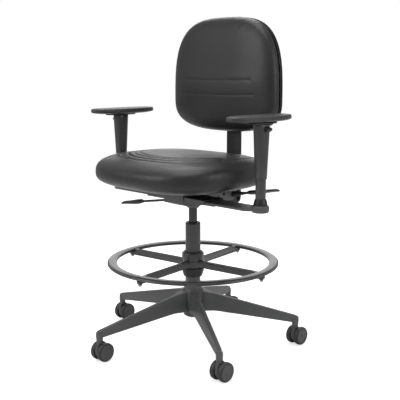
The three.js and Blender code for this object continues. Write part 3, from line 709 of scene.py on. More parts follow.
RING = Finish("ring_coat", "foot_ring_paint", 0.02, 0.03, (0.26, 0.34), Grain.PAINT, 420, 0.05, coat=0.35,
              wear=0.6, worn=0.3, dust=0.1)
PRESSING = Finish("pressing_coat", "mechanism_steel", 0.09, 0.12, (0.34, 0.44), Grain.PAINT, 380, 0.08,
                  wear=0.5, worn=0.3)
UPRIGHT = Finish("upright_coat", "dark_steel", 0.014, 0.022, (0.32, 0.44), Grain.PAINT, 420, 0.07,
                 wear=0.4, worn=0.12)
TUBE = Finish("post_coat", "arm_tube_paint", 0.055, 0.072, (0.26, 0.34), Grain.PAINT, 420, 0.05, wear=0.4,
              worn=0.2)
SLEEVE = Finish("sleeve_moulding", "arm_plastic", 0.045, 0.06, (0.26, 0.34), Grain.MOULDED, 1000, 0.05,
                wear=0.4, worn=0.14)
PAD = Finish("pad_skin", "arm_pad_skin", 0.036, 0.048, (0.34, 0.44), Grain.LEATHER, 760, 0.1, dust=0.1)


# ---------------------------------------------------------------- assemblies


@dataclass
class Part:
    """A piece that waits for its finish and its body."""

    obj: bpy.types.Object
    body: str
    finish: Finish
    nodes: tuple[str, ...]


@dataclass
class Assembly:
    """Pieces that are made and dressed together."""

    parts: list[Part] = field(default_factory=list, init=False)

    def add(self, obj: bpy.types.Object, body: str, finish: Finish, *nodes: str) -> bpy.types.Object:
        """Keeps a piece to dress.

        Args:
            obj: The piece.
            body: The CAD body that it rides on.
            finish: Its finish.
            *nodes: The CAD nodes that it stands for.

        Returns:
            The piece.
        """
        self.parts.append(Part(obj, body, finish, nodes))
        return obj

    def carry(self, node: str, finish: Finish, edge: float = 0.8) -> None:
        """Keeps a CAD node and softens its edges.

        Args:
            node: The CAD node's name.
            finish: Its finish.
            edge: Radius of its edges.
        """
        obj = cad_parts[node]
        weld = obj.modifiers.new("weld", "WELD")
        weld.merge_threshold = 0.02 * MM
        bevel = obj.modifiers.new("edges", "BEVEL")
        bevel.width, bevel.segments = edge * MM, 2
        bevel.limit_method, bevel.angle_limit = "ANGLE", math.radians(42)
        obj.data.shade_smooth()
        level = obj.modifiers.new("faces", "WEIGHTED_NORMAL")
        level.keep_sharp = False
        for place in obj.material_slots:
            place.material = finish.material()

    def build(self) -> None:
        """Makes the meshes."""
        raise NotImplementedError

    def dress(self) -> None:
        """Gives every piece its finish and body, and hides the CAD nodes that it stands for."""
        for part in self.parts:
            part.obj.data.materials.clear()
            part.obj.data.materials.append(part.finish.material())
            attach(part.obj, part.body)
            if part.nodes:
                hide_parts(*part.nodes)
            LOG.info("%s rides on %s", part.obj.name, part.body)


@dataclass(frozen=True)
class Bolt:
    """A button-head screw with a hexagon socket, its head's underside on z = 0."""

    radius: float = 5.0
    height: float = 3.2
    socket: float = 2.4

    def form(self) -> Form:
        """Returns the head as one closed surface of revolution with a six-sided recess."""
        head = turned_solid([(0, -1), (self.radius, -1), (self.radius, self.height * 0.55, 1.2),
                             (self.socket + 1.2, self.height, 0.8), (self.socket, self.height, 0.2),
                             (self.socket, self.height * 0.3, 0.2), (0, self.height * 0.3)], 24, 3)
        return head.bent(self.six_sided)

    def six_sided(self, points: np.ndarray) -> np.ndarray:
        """Draws the recess's wall in to a hexagon."""
        radius = np.hypot(points[:, 0], points[:, 1])
        turn = np.arctan2(points[:, 1], points[:, 0])
        part = (turn % (math.pi / 3)) - math.pi / 6
        inside = (radius < self.socket + 0.1) & (radius > 0.1)
        scale = np.where(inside, math.cos(math.pi / 6) / np.cos(part), 1.0)
        points[:, :2] *= scale[:, None]
        return points


@dataclass
class StarBase(Assembly):
    """The moulded five-star base."""

    radius: float = 350
    stem_circle: float = 339
    first_leg: float = 58.1
    hub: float = 38
    top: tuple[float, float] = (187, 97)
    low: tuple[float, float] = (122, 74)
    half_top: tuple[float, float] = (8, 6.5)
    half_low: tuple[float, float] = (17, 9.5)
    flare: float = 13
    nose_start: float = 334
    nose_radius: float = 16.2
    stations: tuple[int, ...] = (24, 34, 38, 42, 48, 56, 66, 80, 100, 130, 180, 240, 300, 322, 334, 341,
                                 346, 349, 350)

    def leg(self) -> Form:
        """Returns one leg along +X: a blade that flares into the hub and has a round nose."""
        rings = []
        for x in self.stations:
            along = x / self.radius
            nose = math.sqrt(max(0.0, 1 - (max(0.0, x - self.nose_start) / self.nose_radius) ** 2))
            wide = self.flare * (1 - blend_step(x, 34, 92)) ** 1.4
            top = np.interp(along, (0, 1), self.top) - 4 * (1 - nose)
            low = np.interp(along, (0, 1), self.low) + 2 * (1 - nose) - 0.35 * wide
            upper = (np.interp(along, (0, 1), self.half_top) + 0.8 * wide) * (0.35 + 0.65 * nose)
            lower = (np.interp(along, (0, 1), self.half_low) + 0.5 * wide) * (0.35 + 0.65 * nose)
            outline = rounded([(-upper, top, 2.2), (-lower, low, 4), (lower, low, 4), (upper, top, 2.2)])
            rings.append(np.column_stack((np.full(len(outline), float(x)), outline)))
        return loft(rings)

    def build(self) -> None:
        """Makes the base as one moulding with its bores."""
        low, high = corners("five_star_base")
        hub = turned_solid([(0, 94), (29, 94, 2), (31, 97, 1), (31, 118, 2), (37, 124, 5),
                            (self.hub, 176, 9), (30, 187, 2), (29.5, high[2], 1.5), (0, high[2])], 80)
        boss = turned_solid([(0, low[2]), (10, low[2], 1), (11, low[2] + 14, 2), (10.5, 90), (0, 90)], 32)
        added, taken = [], []
        for k in range(5):
            turn = self.first_leg + 72 * k - 90
            added += [self.leg().turned(turn), boss.moved(self.stem_circle).turned(turn)]
            taken.append(rod(5.7, 55, 90.3, 24).moved(self.stem_circle).turned(turn))
        taken.append(revolve(np.array([(0, 90), (22.8, 90), (25.3, 142), (25.3, 205), (0, 205)]), 80))
        self.add(carved("star_base", hub, added, taken), "base", NYLON, "five_star_base")


@dataclass
class Casters(Assembly):
    """Five twin-wheel casters: forks, axles, tyres and their discs."""

    wheel_radius: float = 30
    inner: float = 7
    outer: float = 25
    trail: float = 10

    def tyre(self) -> Form:
        """Returns a tyre about X, its tread crowned and its outer shoulder round."""
        r, a, b = self.wheel_radius, self.inner, self.outer
        return turned_ring([(5, a), (26, a, 1), (28, a + 0.4, 1), (r - 0.6, a + 3, 1.6), (r, (a + b) / 2, 12),
                            (r - 0.8, b - 3.4, 3), (r - 3.2, b - 0.8, 1.6), (25.6, b - 1.4, 0.6),
                            (25.0, b - 3.4), (5, b - 3.4)], 72)

    def disc(self) -> Form:
        """Returns a wheel disc: a raised rim, a shallow dish and a domed middle."""
        b = self.outer
        return turned_solid([(0, b - 4.6), (24.8, b - 4.6, 0.4), (24.8, b - 1.0, 0.8), (23.4, b - 0.5, 0.8),
                             (21.6, b - 1.5, 1.2), (12, b - 1.9, 6), (7.5, b - 1.2, 2), (6.4, b - 0.4, 0.8),
                             (0, b - 0.1)], 72)

    def fork(self) -> Form:
        """Returns the flat body between the wheels, drawn from the side."""
        side = rounded([(-9, 60.4, 3), (-15, 42, 6), (-15, 26, 8), (-6, 12, 10), (10, 9, 14), (24, 15, 12),
                        (26.5, 33, 14), (20, 50, 12), (9, 60.4, 3)], steps=5)
        return plate(side, -6, 6, edge=1.6).sideways()

    def build(self) -> None:
        """Makes the five casters where their CAD nodes stand."""
        for k in range(1, 6):
            low, high = corners(f"caster_wheel_left_{k}")
            x, y = low[0] - self.inner, (low[1] + high[1]) / 2 - self.trail
            stem = turned_solid([(0, 59), (10, 59), (10, 62.7, 0.8), (5.4, 62.7), (5.4, 90, 1), (0, 90)], 40)
            hole = rod(4.3, -9, 9, 32).sideways()
            fork = carved(f"caster_body_{k}", self.fork().moved(x, y), [stem.moved(x, y)],
                          [hole.moved(x, y + self.trail, self.wheel_radius)])
            self.add(fork, f"caster_{k}", CASTER, f"caster_fork_{k}")
            self.carry(f"caster_axle_{k}", PIN, 0.4)
            for side in SIDES:
                for word, form, finish in (("tyre", self.tyre(), TREAD), ("disc", self.disc(), CASTER)):
                    wheel = form.sideways().mirrored(side == "right")
                    wheel = wheel.moved(x, y + self.trail, self.wheel_radius)
                    nodes = (f"caster_wheel_{side}_{k}",) if word == "tyre" else ()
                    self.add(wheel.build(f"caster_{word}_{side}_{k}"), f"wheel_{side}_{k}", finish, *nodes)


@dataclass
class GasColumn(Assembly):
    """The gas spring: tube, bushing, piston, clip and valve button."""

    radius: float = 25
    bore: float = 20.5
    piston: float = 14
    floor: float = 122
    rest: float = 404.3

    def build(self) -> None:
        """Makes the column's turned pieces at the heights of their CAD nodes."""
        low, high = corners("gas_column_tube")
        tube = turned_solid([(0, low[2]), (13, low[2], 0.6), (14, low[2] + 1), (14, 93.7, 0.5),
                             (22.5, 93.7, 1), (self.radius, 142, 20), (self.radius, high[2] - 0.6, 1.4),
                             (self.bore, high[2] - 0.2), (self.bore, self.floor), (0, self.floor)], 96)
        self.add(tube.build("column_tube"), "base", COLUMN, "gas_column_tube")
        low, high = corners("column_guide_bushing")
        rim = self.radius - 0.4
        inner, outer = self.piston + 0.3, self.bore - 0.3
        collar = turned_ring([(inner, low[2]), (outer, low[2]), (outer, self.rest), (rim, self.rest, 0.5),
                              (rim - 0.5, high[2], 1.2), (19, high[2], 0.6), (18, high[2] - 0.8, 0.6),
                              (inner, high[2] - 0.8, 0.4)], 96)
        self.add(collar.build("column_bushing"), "base", BLACK, "column_guide_bushing")
        low, high = corners("gas_piston")
        stem = turned_solid([(0, low[2]), (self.piston, low[2], 1), (self.piston, 460, 2), (13, high[2], 0.8),
                             (4.4, high[2]), (4.4, high[2] - 12), (0, high[2] - 12)], 80)
        self.add(stem.build("piston_rod"), "piston", PISTON, "gas_piston")
        self.carry("column_retaining_clip", PIN, 0.3)
        self.carry("gas_valve_button", PIN, 0.4)


@dataclass
class FootRing(Assembly):
    """The foot ring with its channel spokes, hub, collet and locking knob."""

    radius: float = 265
    half_width: float = 15.5
    first_spoke: float = 8
    spoke_half: float = 6.5
    lobes: int = 8

    def ring(self) -> Form:
        """Returns the ring: a flattened section with a fine groove round its outer face."""
        low, high = corners("foot_ring")
        middle, half = (low[2] + high[2]) / 2, (high[2] - low[2]) / 2
        turn = np.linspace(0, 2 * math.pi, 48, endpoint=False)
        out = power(np.cos(turn), 0.72)
        up = power(np.sin(turn), 0.8)
        groove = 1.5 * np.exp(-((up * half - 0.6) / 1.1) ** 2) * (np.cos(turn) > 0.4)
        section = np.column_stack((self.radius + self.half_width * out - groove, middle + half * up))
        return revolve(section, 168, ring=True)

    def spoke(self) -> Form:
        """Returns one spoke towards -Y, with the tab under the ring, drawn from the side."""
        inner = -(self.radius - self.half_width)
        side = rounded([(-24, 281), (inner - 4, 281, 3), (inner + 0.5, 277, 2), (inner - 2, 269.7, 1),
                        (inner - 25, 269.7, 2), (inner - 25, 261, 3), (inner, 259.5, 8), (-24, 259)])
        return plate(side, -self.spoke_half, self.spoke_half, edge=1.2).sideways()

    def channel(self) -> Form:
        """Returns the trough that is taken out of a spoke's top."""
        side = np.array([(-40.0, 285.0), (-238.0, 285.0), (-232.0, 267.0), (-40.0, 267.0)])
        return plate(side, -self.spoke_half + 2.6, self.spoke_half - 2.6, edge=0.4).sideways()

    def spider(self) -> bpy.types.Object:
        """Returns the hub and spokes as one casting."""
        _, high = corners("foot_ring_spider")
        hub = turned_solid([(0, 257), (31.5, 257, 1), (33, 259, 1), (33, 279, 2), (36, 283, 2),
                            (36, high[2] - 3, 2), (34, high[2], 1.5), (0, high[2])], 80)
        web = plate(rounded([(-12, -30), (12, -30), (6, -62, 10), (-6, -62, 10)][::-1]), 260, 279.5, 2)
        lug = turned_solid([(0, 257.4), (6.6, 257.4, 1.5), (8, 262, 2), (8, 268, 1), (0, 268)], 32)
        added, taken = [], []
        for k in range(4):
            turn = self.first_spoke + 90 * k
            added += [self.spoke().turned(turn), web.turned(turn), lug.moved(0, -self.radius).turned(turn)]
            taken.append(self.channel().turned(turn))
        taken.append(rod(28.3, 250, 315, 80))
        return carved("foot_ring_hub", hub, added, taken)

    def lobed(self, points: np.ndarray) -> np.ndarray:
        """Scallops the knob's outer wall for the fingers."""
        radius = np.hypot(points[:, 0], points[:, 1])
        turn = np.arctan2(points[:, 1], points[:, 0])
        dent = np.exp(-((((turn * self.lobes / (2 * math.pi)) % 1) - 0.5) / 0.13) ** 2)
        share = np.clip((radius - 29.4) / 5, 0, 1)
        points[:, :2] *= (1 - 1.9 * dent * share / radius)[:, None]
        return points

    def build(self) -> None:
        """Makes the ring, its casting, the collet, the knob and the spoke bolts."""
        self.add(self.ring().build("foot_ring_hoop"), "foot_ring", RING, "foot_ring")
        self.add(self.spider(), "foot_ring", RING, "foot_ring_spider")
        low, high = corners("foot_ring_collet")
        collet = turned_ring([(25.3, low[2]), (28, low[2], 0.6), (28, 308.3, 0.4), (31, 308.3, 0.6),
                              (30.6, high[2], 0.8), (25.3, high[2], 0.4)], 80)
        self.add(collet.build("ring_collet"), "foot_ring_clamp", BLACK, "foot_ring_collet")
        low, high = corners("foot_ring_knob")
        knob = turned_ring([(28.3, low[2]), (30, low[2], 0.6), (31.5, low[2] + 3, 2), (33, low[2] + 9, 4),
                            (36, low[2] + 19, 3), (36, high[2] - 2, 1.5), (34.5, high[2], 1),
                            (28.3, high[2])], 160)
        self.add(knob.bent(self.lobed).build("ring_knob"), "foot_ring_knob", BLACK, "foot_ring_knob")
        bolts = [Bolt(5.4, 3.6).form().turned(180, Axis.X).moved(0, -self.radius, 255.0)
                 .turned(self.first_spoke + 90 * k) for k in range(4)]
        self.add(gathered(bolts).build("spoke_bolts"), "foot_ring", PIN)


@dataclass(frozen=True)
class LeverShape:
    """A control lever's sizes: the reach from the chair's middle, the paddle's length and half width, the
    droop in degrees, how much the root and the grip are thickened, and the paddle's lean in degrees."""

    reach: float
    paddle: float
    half: float
    droop: float
    root: float = 0.0
    grip: float = 0.0
    lean: float = 0.0


@dataclass
class Mechanism(Assembly):
    """The under-seat mechanism: housing, socket, pivots, levers and screws."""

    half_width: float = 42
    lever_rod: float = 4
    neck_length: float = 16
    root_length: float = 60
    flange: float = 514
    pocket: float = 489.1

    def lever(self, name: str, y: float, z: float, shape: LeverShape, side: int) -> None:
        """Makes a control lever: a round rod that widens into a flat paddle.

        Args:
            name: The CAD node that it stands for, and its body.
            y: Where it leaves the housing.
            z: The height at which it does.
            shape: Its sizes.
            side: 1 for the sitter's left, -1 for the right.
        """
        reach, paddle = shape.reach, shape.paddle
        start, neck = self.half_width + 1.6, reach - paddle - self.neck_length
        rings = []
        for x in (*np.linspace(start, neck - 10, 6), *np.linspace(neck - 4, reach - 8, 14),
                  reach - 4, reach - 1.4, reach):
            grown = blend_step(x, neck - 8, neck + 12)
            nose = math.sqrt(max(0.0, 1 - (max(0.0, x - (reach - 9)) / 9.02) ** 2))
            swell = 1 + 0.16 * math.sin(math.pi * min(1, max(0, (x - neck) / paddle)))
            swollen = grown * (1 - blend_step(x, neck + 0.2 * paddle, neck + 0.9 * paddle))
            root = shape.root * (1 - blend_step(x, start, start + self.root_length))
            thick = self.lever_rod + shape.grip * swollen - 0.4 * (grown - swollen) + root
            wide = self.lever_rod + (shape.half - self.lever_rod) * grown + root
            outline = oval(wide * swell * (0.25 + 0.75 * nose), thick * (0.3 + 0.7 * nose),
                           2 + 0.7 * grown, 28)
            lean = math.radians(-side * shape.lean) * grown
            cosine, sine = math.cos(lean), math.sin(lean)
            outline = outline @ np.array(((cosine, sine), (-sine, cosine)))
            rings.append(np.column_stack((np.full(len(outline), x), outline + np.array((y, z)))))
        form = loft(rings).moved(-start, 0, -z).turned(shape.droop, Axis.Y).moved(start, 0, z)
        self.add(form.mirrored(side < 0).build(f"{name}_handle"), name, BLACK, name)
        washer = turned_ring([(4.2, 0), (8, 0, 0.4), (8, 1.0, 0.4), (4.2, 1.0)], 32)
        washer = washer.turned(90, Axis.Y).moved(self.half_width, y, z).mirrored(side < 0)
        self.add(washer.build(f"{name}_grommet"), "seat", BLACK)

    def screws(self) -> Form:
        """Returns the screws in the side walls, the flange and the arm pockets."""
        found = []
        for side in (1, -1):
            wall = [(28, 494, 5.0), (104, 492, 5.4), (128, 500, 3.6), (-58, 509, 3.8)]
            for y, z, radius in wall:
                head = Bolt(radius, 3.0, radius * 0.45).form().turned(90, Axis.Y)
                found.append(head.moved(self.half_width, y, z).mirrored(side < 0))
            for x, y in ((66, 14), (66, 104)):
                head = Bolt(5.5, 3.4).form().turned(180, Axis.X)
                found.append(head.moved(x, y, self.flange).mirrored(side < 0))
            for x, y in ((96, -64), (96, -28), (120, -46)):
                head = Bolt(4.4, 2.8, 2.0).form().turned(180, Axis.X)
                found.append(head.moved(x, y, self.pocket).mirrored(side < 0))
        return gathered(found)

    def build(self) -> None:
        """Makes the levers and screws, and finishes the pressings."""
        self.lever("height_lever", -80, 484.7, LeverShape(265, 92, 11, 9.3, grip=2.6, lean=17), -1)
        self.lever("back_lever", 148, 487, LeverShape(238, 112, 13, -10.5, root=6, grip=2.6, lean=17), 1)
        self.lever("tilt_lever", -46, 508.5, LeverShape(172, 86, 11, 0), 1)
        self.add(self.screws().build("mechanism_screws"), "seat", UPRIGHT)
        self.carry("mechanism_housing", PRESSING, 1.0)
        self.carry("column_socket", PRESSING, 1.2)
        for pin in ("tilt_pivot_pin", "back_pivot_pin"):
            self.carry(pin, UPRIGHT, 0.7)
        self.carry("back_pivot_bracket", UPRIGHT, 1.0)


@dataclass
class Arm(Assembly):
    """One height-adjustable arm, from its bar to its pad."""

    side: str
    post: tuple[float, float] = (315, -37)
    tube: float = 15.2
    pad_half: tuple[float, float] = (45, 131)
    pad_middle: float = 306
    bar_levels: tuple[float, float] = (492, 500)

    def bar(self) -> bpy.types.Object:
        """Returns the flat bar with the cup that holds the post."""
        x, y = self.post
        low, high = corners(f"arm_bar_{self.side}")
        flat = plate(rounded([(62, -80, 2), (x - 26, -80, 12), (x + 2, -56, 14), (x, -18, 10),
                              (x - 18, -12, 12), (62, -12, 2)], steps=6), *self.bar_levels, 1.4)
        cup = turned_solid([(0, low[2]), (23.5, low[2], 2), (26, low[2] + 3, 1.5), (26, high[2] - 4, 1.5),
                            (23, high[2], 1.5), (0, high[2])], 72).moved(x, y)
        bore = rod(15.5, 490, 512, 72).moved(x, y)
        mirror = self.side == "right"
        return carved(f"arm_bar_{self.side}_plate", flat.mirrored(mirror), [cup.mirrored(mirror)],
                      [bore.mirrored(mirror)])

    def sleeve(self) -> Form:
        """Returns the oval sleeve: round at its foot, deeper than wide at its head."""
        low, high = corners(f"arm_sleeve_{self.side}")
        span = high[2] - low[2]
        rings = []
        for z, inset in ((0, 1.4), (0.5, 0.5), (1.4, 0), (6, 0), (7, 0.5), (8, 0.5), (9, 0), (40, 0), (80, 0),
                         (120, 0), (150, 0), (span - 2, 0), (span - 0.6, 0.6), (span, 1.8)):
            up = z / span
            wide, deep = 17.6 + 2.4 * up, 17.6 + 9.4 * up
            outline = oval(wide - inset, deep - inset, 2 + 0.35 * up, 64) + np.array(self.post)
            rings.append(np.column_stack((outline, np.full(len(outline), low[2] + z))))
        return loft(rings)

    def pad(self) -> Form:
        """Returns the dished pad with its thin rounded rim."""
        low, high = corners(f"arm_pad_{self.side}")
        widest = low[2] + 10
        middle = (low[1] + high[1]) / 2

        def rule(x: np.ndarray, y: np.ndarray, height: float, inward: float) -> np.ndarray:
            """Lays a ring of the pad out."""
            if height > 0:
                z = widest + (high[2] - widest) * height - 4.2 * (1 - inward ** 2) * height
                z = z + 1.2 * (y / self.pad_half[1]) ** 2 * height * (inward < 0.98) - 1.2 * height
            else:
                z = widest + (widest - low[2]) * height
            return np.column_stack((self.pad_middle + x, middle + y, np.broadcast_to(z, x.shape)))

        return padded(lambda a: squircle(a, *self.pad_half, 2.3), rule, (5.5, 3.2), 112, 56).flipped()

    def build(self) -> None:
        """Makes the arm's pieces, mirrored for the sitter's right."""
        word, mirror = self.side, self.side == "right"
        x, y = self.post
        self.add(self.bar(), f"arm_{word}", PRESSING, f"arm_bar_{word}")
        low, high = corners(f"arm_post_tube_{word}")
        tube = turned_ring([(12.7, low[2]), (self.tube, low[2], 0.6), (self.tube, high[2], 0.8),
                            (12.7, high[2], 0.6)], 72).moved(x, y).mirrored(mirror)
        self.add(tube.build(f"arm_tube_{word}"), f"arm_{word}", TUBE, f"arm_post_tube_{word}")
        low, high = corners(f"arm_post_collar_{word}")
        nut = turned_ring([(15.5, low[2]), (21, low[2], 0.8), (20.4, low[2] + 5, 1.5), (18, high[2] - 3, 3),
                           (17, high[2], 0.8), (15.5, high[2])], 72).moved(x, y).mirrored(mirror)
        self.add(nut.build(f"arm_collar_{word}"), f"arm_{word}", BLACK, f"arm_post_collar_{word}")
        hole = rod(15.6, 580, 735, 64).moved(x, y)
        sleeve = carved(f"arm_sleeve_{word}_moulding", self.sleeve().mirrored(mirror), [],
                        [hole.mirrored(mirror)])
        self.add(sleeve, f"arm_head_{word}", SLEEVE, f"arm_sleeve_{word}")
        near = x + 20.6
        side = rounded([(near, 724, 1), (near + 5, 722.2, 2), (near + 12.8, 728, 2.5), (near + 12.8, 734, 3),
                        (near + 6, 735.5, 3), (near, 738.8, 1)])
        thumb = plate(side, -9, 9, 1.6).turned(90, Axis.X).moved(0, y).mirrored(mirror)
        self.add(thumb.build(f"arm_trigger_{word}_thumb"), f"arm_trigger_{word}", BLACK,
                 f"arm_trigger_{word}")
        low, high = corners(f"arm_pad_plate_{word}")
        rest = plate(oval(25, 62, 2.2, 72) + np.array(self.post), low[2], high[2], 1.2).mirrored(mirror)
        self.add(rest.build(f"arm_rest_plate_{word}"), f"arm_pad_{word}", BLACK, f"arm_pad_plate_{word}")
        pad = self.pad().mirrored(mirror).build(f"arm_rest_{word}")
        self.add(pad, f"arm_pad_{word}", PAD, f"arm_pad_{word}")


# ---------------------------------------------------------------- upholstery


@dataclass(frozen=True)
class SewnLine:
    """A line sewn into a cover, drawn in the plane that the cover faces."""

    name: str
    path: np.ndarray
    depth: float
    width: float
    closed: bool = False
    thread: bool = True
    welt: float = 0.0

    def corners(self) -> np.ndarray:
        """Returns the line's points, with the first one again at the end if it is closed."""
        return np.vstack((self.path, self.path[:1])) if self.closed else self.path

    def distance(self, points: np.ndarray) -> np.ndarray:
        """Gives each flat point's distance from the line.

        Args:
            points: Rows of two coordinates in the cover's plane.

        Returns:
            The distances.
        """
        ends = self.corners()
        best = np.full(len(points), 1e9)
        for a, b in zip(ends[:-1], ends[1:]):
            span = b - a
            share = np.clip((points - a) @ span / max(span @ span, 1e-9), 0, 1)
            best = np.minimum(best, np.linalg.norm(points - a - share[:, None] * span, axis=1))
        return best

    def spaced(self, pitch: float) -> np.ndarray:
        """Returns the line's points at an even pitch."""
        ends = self.corners()
        run = np.concatenate(([0], np.cumsum(np.linalg.norm(np.diff(ends, axis=0), axis=1))))
        at = np.linspace(0, run[-1], max(3, round(run[-1] / pitch)) + 1)
        if self.closed:
            at = at[:-1]
        return np.column_stack([np.interp(at, run, ends[:, i]) for i in (0, 1)])


@dataclass
class Cushion(Assembly):
    """A cover blown up over its foam, with its sewn lines."""

    node: str = ""
    body: str = ""
    piece: str = ""
    voxel: float = 5.0
    pressure: float = 4.0
    frames: int = 20
    cap: float = 11.0
    fill: float = 0.8
    stitch: float = 6.0
    softening: int = 3
    fits: tuple[int, ...] = (40, 16, 6, 3)
    puff: float = 0.5
    crown: float = 0.0
    shrunk: float = 0.967
    swell_room: float = 5

    def blank(self, small: float, room: float) -> Form:
        """Makes the cover's plain shape, at its finished size or a little smaller.

        Args:
            small: The share of the finished outline that it takes.
            room: How far its face stays short of the CAD solid's, below 0 to stand above it.

        Returns:
            The closed form.
        """
        raise NotImplementedError

    def lines(self) -> list[SewnLine]:
        """Returns the sewn lines."""
        raise NotImplementedError

    def held(self, points: np.ndarray) -> np.ndarray:
        """Gives how firmly the board behind the foam holds each point, from 0 to 1."""
        raise NotImplementedError

    def flat(self, points: np.ndarray) -> np.ndarray:
        """Drops the coordinate that the cover faces along."""
        raise NotImplementedError

    def facing(self) -> np.ndarray:
        """Returns the direction that the cover faces."""
        raise NotImplementedError

    def blown(self, obj: bpy.types.Object) -> None:
        """Blows the cover up with the cloth solver and caps how far it moves.

        Args:
            obj: The remeshed cover.
        """
        rest = points_of(obj)
        chair = unplaced(rest)
        firm = self.held(chair)
        outward = np.array([v.normal for v in obj.data.vertices]) @ self.facing() > 0.35
        for line in self.lines():
            firm = np.maximum(firm, (line.distance(self.flat(chair)) < self.voxel * 0.75) & outward)
        group = obj.vertex_groups.new(name="held")
        for index in np.nonzero(firm > 0.01)[0]:
            group.add([int(index)], float(firm[index]), "REPLACE")
        cloth = obj.modifiers.new("cover", "CLOTH")
        cloth.settings.quality = 4
        cloth.settings.mass = 0.3
        cloth.settings.tension_stiffness = cloth.settings.compression_stiffness = 18
        cloth.settings.shear_stiffness = 6
        cloth.settings.bending_stiffness = 1.2
        cloth.settings.use_pressure = True
        cloth.settings.uniform_pressure_force = self.pressure
        cloth.settings.vertex_group_mass = group.name
        cloth.settings.effector_weights.gravity = 0
        cloth.collision_settings.use_collision = False
        cloth.point_cache.frame_start, cloth.point_cache.frame_end = 1, self.frames
        scene = bpy.context.scene
        for step in range(1, self.frames + 1):
            scene.frame_set(step)
        moved = points_of(obj.evaluated_get(bpy.context.evaluated_depsgraph_get())) - rest
        reach = np.linalg.norm(moved, axis=1)
        LOG.info("%s swells by up to %.1f mm", obj.name, reach.max() / MM)
        moved *= np.minimum(1, self.cap * MM / np.maximum(reach, 1e-9))[:, None]
        obj.modifiers.clear()
        obj.vertex_groups.clear()
        scene.frame_set(1)
        write_points(obj, rest + moved)

    def relaxed(self, obj: bpy.types.Object, repeat: int, levels: int) -> None:
        """Smooths a cover and subdivides it.

        Args:
            obj: The cover.
            repeat: How many times it is smoothed.
            levels: How many times each face is split.
        """
        soft = obj.modifiers.new("soft", "SMOOTH")
        soft.factor, soft.iterations = 0.5, repeat
        if levels:
            split = obj.modifiers.new("split", "SUBSURF")
            split.levels = split.render_levels = levels
        settle(obj)

    def fitted(self, obj: bpy.types.Object) -> None:
        """Draws the cover back to its finished shape at large, and leaves its small swells and folds.

        Args:
            obj: The cover.
        """
        aim = self.blank(1.0, -self.crown)
        tree = BVHTree.FromPolygons([Vector(point) for point in placed(aim.points)], aim.faces)
        points = points_of(obj)
        ends = np.array([e.vertices[:] for e in obj.data.edges])
        first, last = np.vstack((ends, ends[:, ::-1])).T
        count = np.bincount(first, minlength=len(points))[:, None]
        for spread in self.fits:
            found = [tree.find_nearest(Vector(point)) for point in points]
            pull = np.array([near[0] + near[1] * self.puff * MM for near in found]) - points
            for _ in range(spread):
                pull = np.column_stack([np.bincount(first, pull[last, i], len(points)) for i in range(3)])
                pull /= count
            points = points + pull
        write_points(obj, points)

    def sewn(self, obj: bpy.types.Object) -> None:
        """Sinks the sewn lines into the cover, with puckers along them.

        Args:
            obj: The finished cover.
        """
        points = points_of(obj)
        normals = np.zeros(len(points) * 3)
        obj.data.vertices.foreach_get("normal", normals)
        normals = normals.reshape(-1, 3)
        front = np.clip((normals @ self.facing() - 0.12) / 0.3, 0, 1)
        flat = self.flat(unplaced(points))
        sink = np.zeros(len(points))
        for line in self.lines():
            away = line.distance(flat)
            near = away < line.width * 5
            pucker = np.array([noise.noise(Vector((*p, 0)) * 0.09) for p in flat[near]])
            narrow = np.exp(-(away[near] / line.width) ** 2)
            broad = np.exp(-(away[near] / (line.width * 2.6)) ** 2)
            sink[near] += line.depth * (narrow + (0.28 + 0.5 * pucker) * broad)
        write_points(obj, points - normals * (sink * front * MM)[:, None])

    def laid(self, obj: bpy.types.Object, path: np.ndarray) -> tuple[np.ndarray, np.ndarray]:
        """Lays flat points on the cover.

        Args:
            obj: The cover.
            path: Rows of two coordinates in the cover's plane.

        Returns:
            The points on the cover, in chair millimetres, and its normals there.
        """
        tree = BVHTree.FromPolygons([v.co for v in obj.data.vertices],
                                    [list(p.vertices) for p in obj.data.polygons])
        facing = Vector(self.facing())
        spots, normals = [], []
        for u, v in path:
            start = Vector(placed(self.raised(u, v))) + facing * 0.5
            spot, normal, _, _ = tree.ray_cast(start, -facing)
            if spot is not None:
                spots.append(unplaced(spot))
                normals.append(np.array(normal))
        return np.array(spots), np.array(normals)

    def raised(self, u: float, v: float) -> np.ndarray:
        """Returns a flat point in the middle of the cushion's depth."""
        raise NotImplementedError

    def trimmed(self, obj: bpy.types.Object) -> None:
        """Adds the threads and the welts of the sewn lines.

        Args:
            obj: The finished cover.
        """
        for line in self.lines():
            if line.welt:
                spots, normals = self.laid(obj, line.spaced(4.0))
                welt = cord(spots + normals * 0.1, line.welt, normals, line.closed)
                # The welt's finish is lighter than the vinyl: a painted highlight along the seam.
                self.add(welt.build(f"{self.piece}_{line.name}_welt"), self.body, HIGHLIT_WELT)
            if line.thread:
                spots, normals = self.laid(obj, line.spaced(self.stitch))
                threads = [self.one_stitch(a, b, n) for a, b, n in zip(spots[:-1], spots[1:], normals)]
                self.add(gathered(threads).build(f"{self.piece}_{line.name}_thread"), self.body, THREAD)

    def one_stitch(self, first: np.ndarray, last: np.ndarray, normal: np.ndarray) -> Form:
        """Returns one stitch that dips into the cover at both its ends."""
        shares = np.array((0.06, 0.2, 0.5, 0.76, 0.9))
        lifts = np.array((-0.35, 0.25, 0.45, 0.25, -0.35))
        path = first + shares[:, None] * (last - first) + lifts[:, None] * normal
        return cord(path, 0.5, np.tile(normal, (len(path), 1)), False, 6)

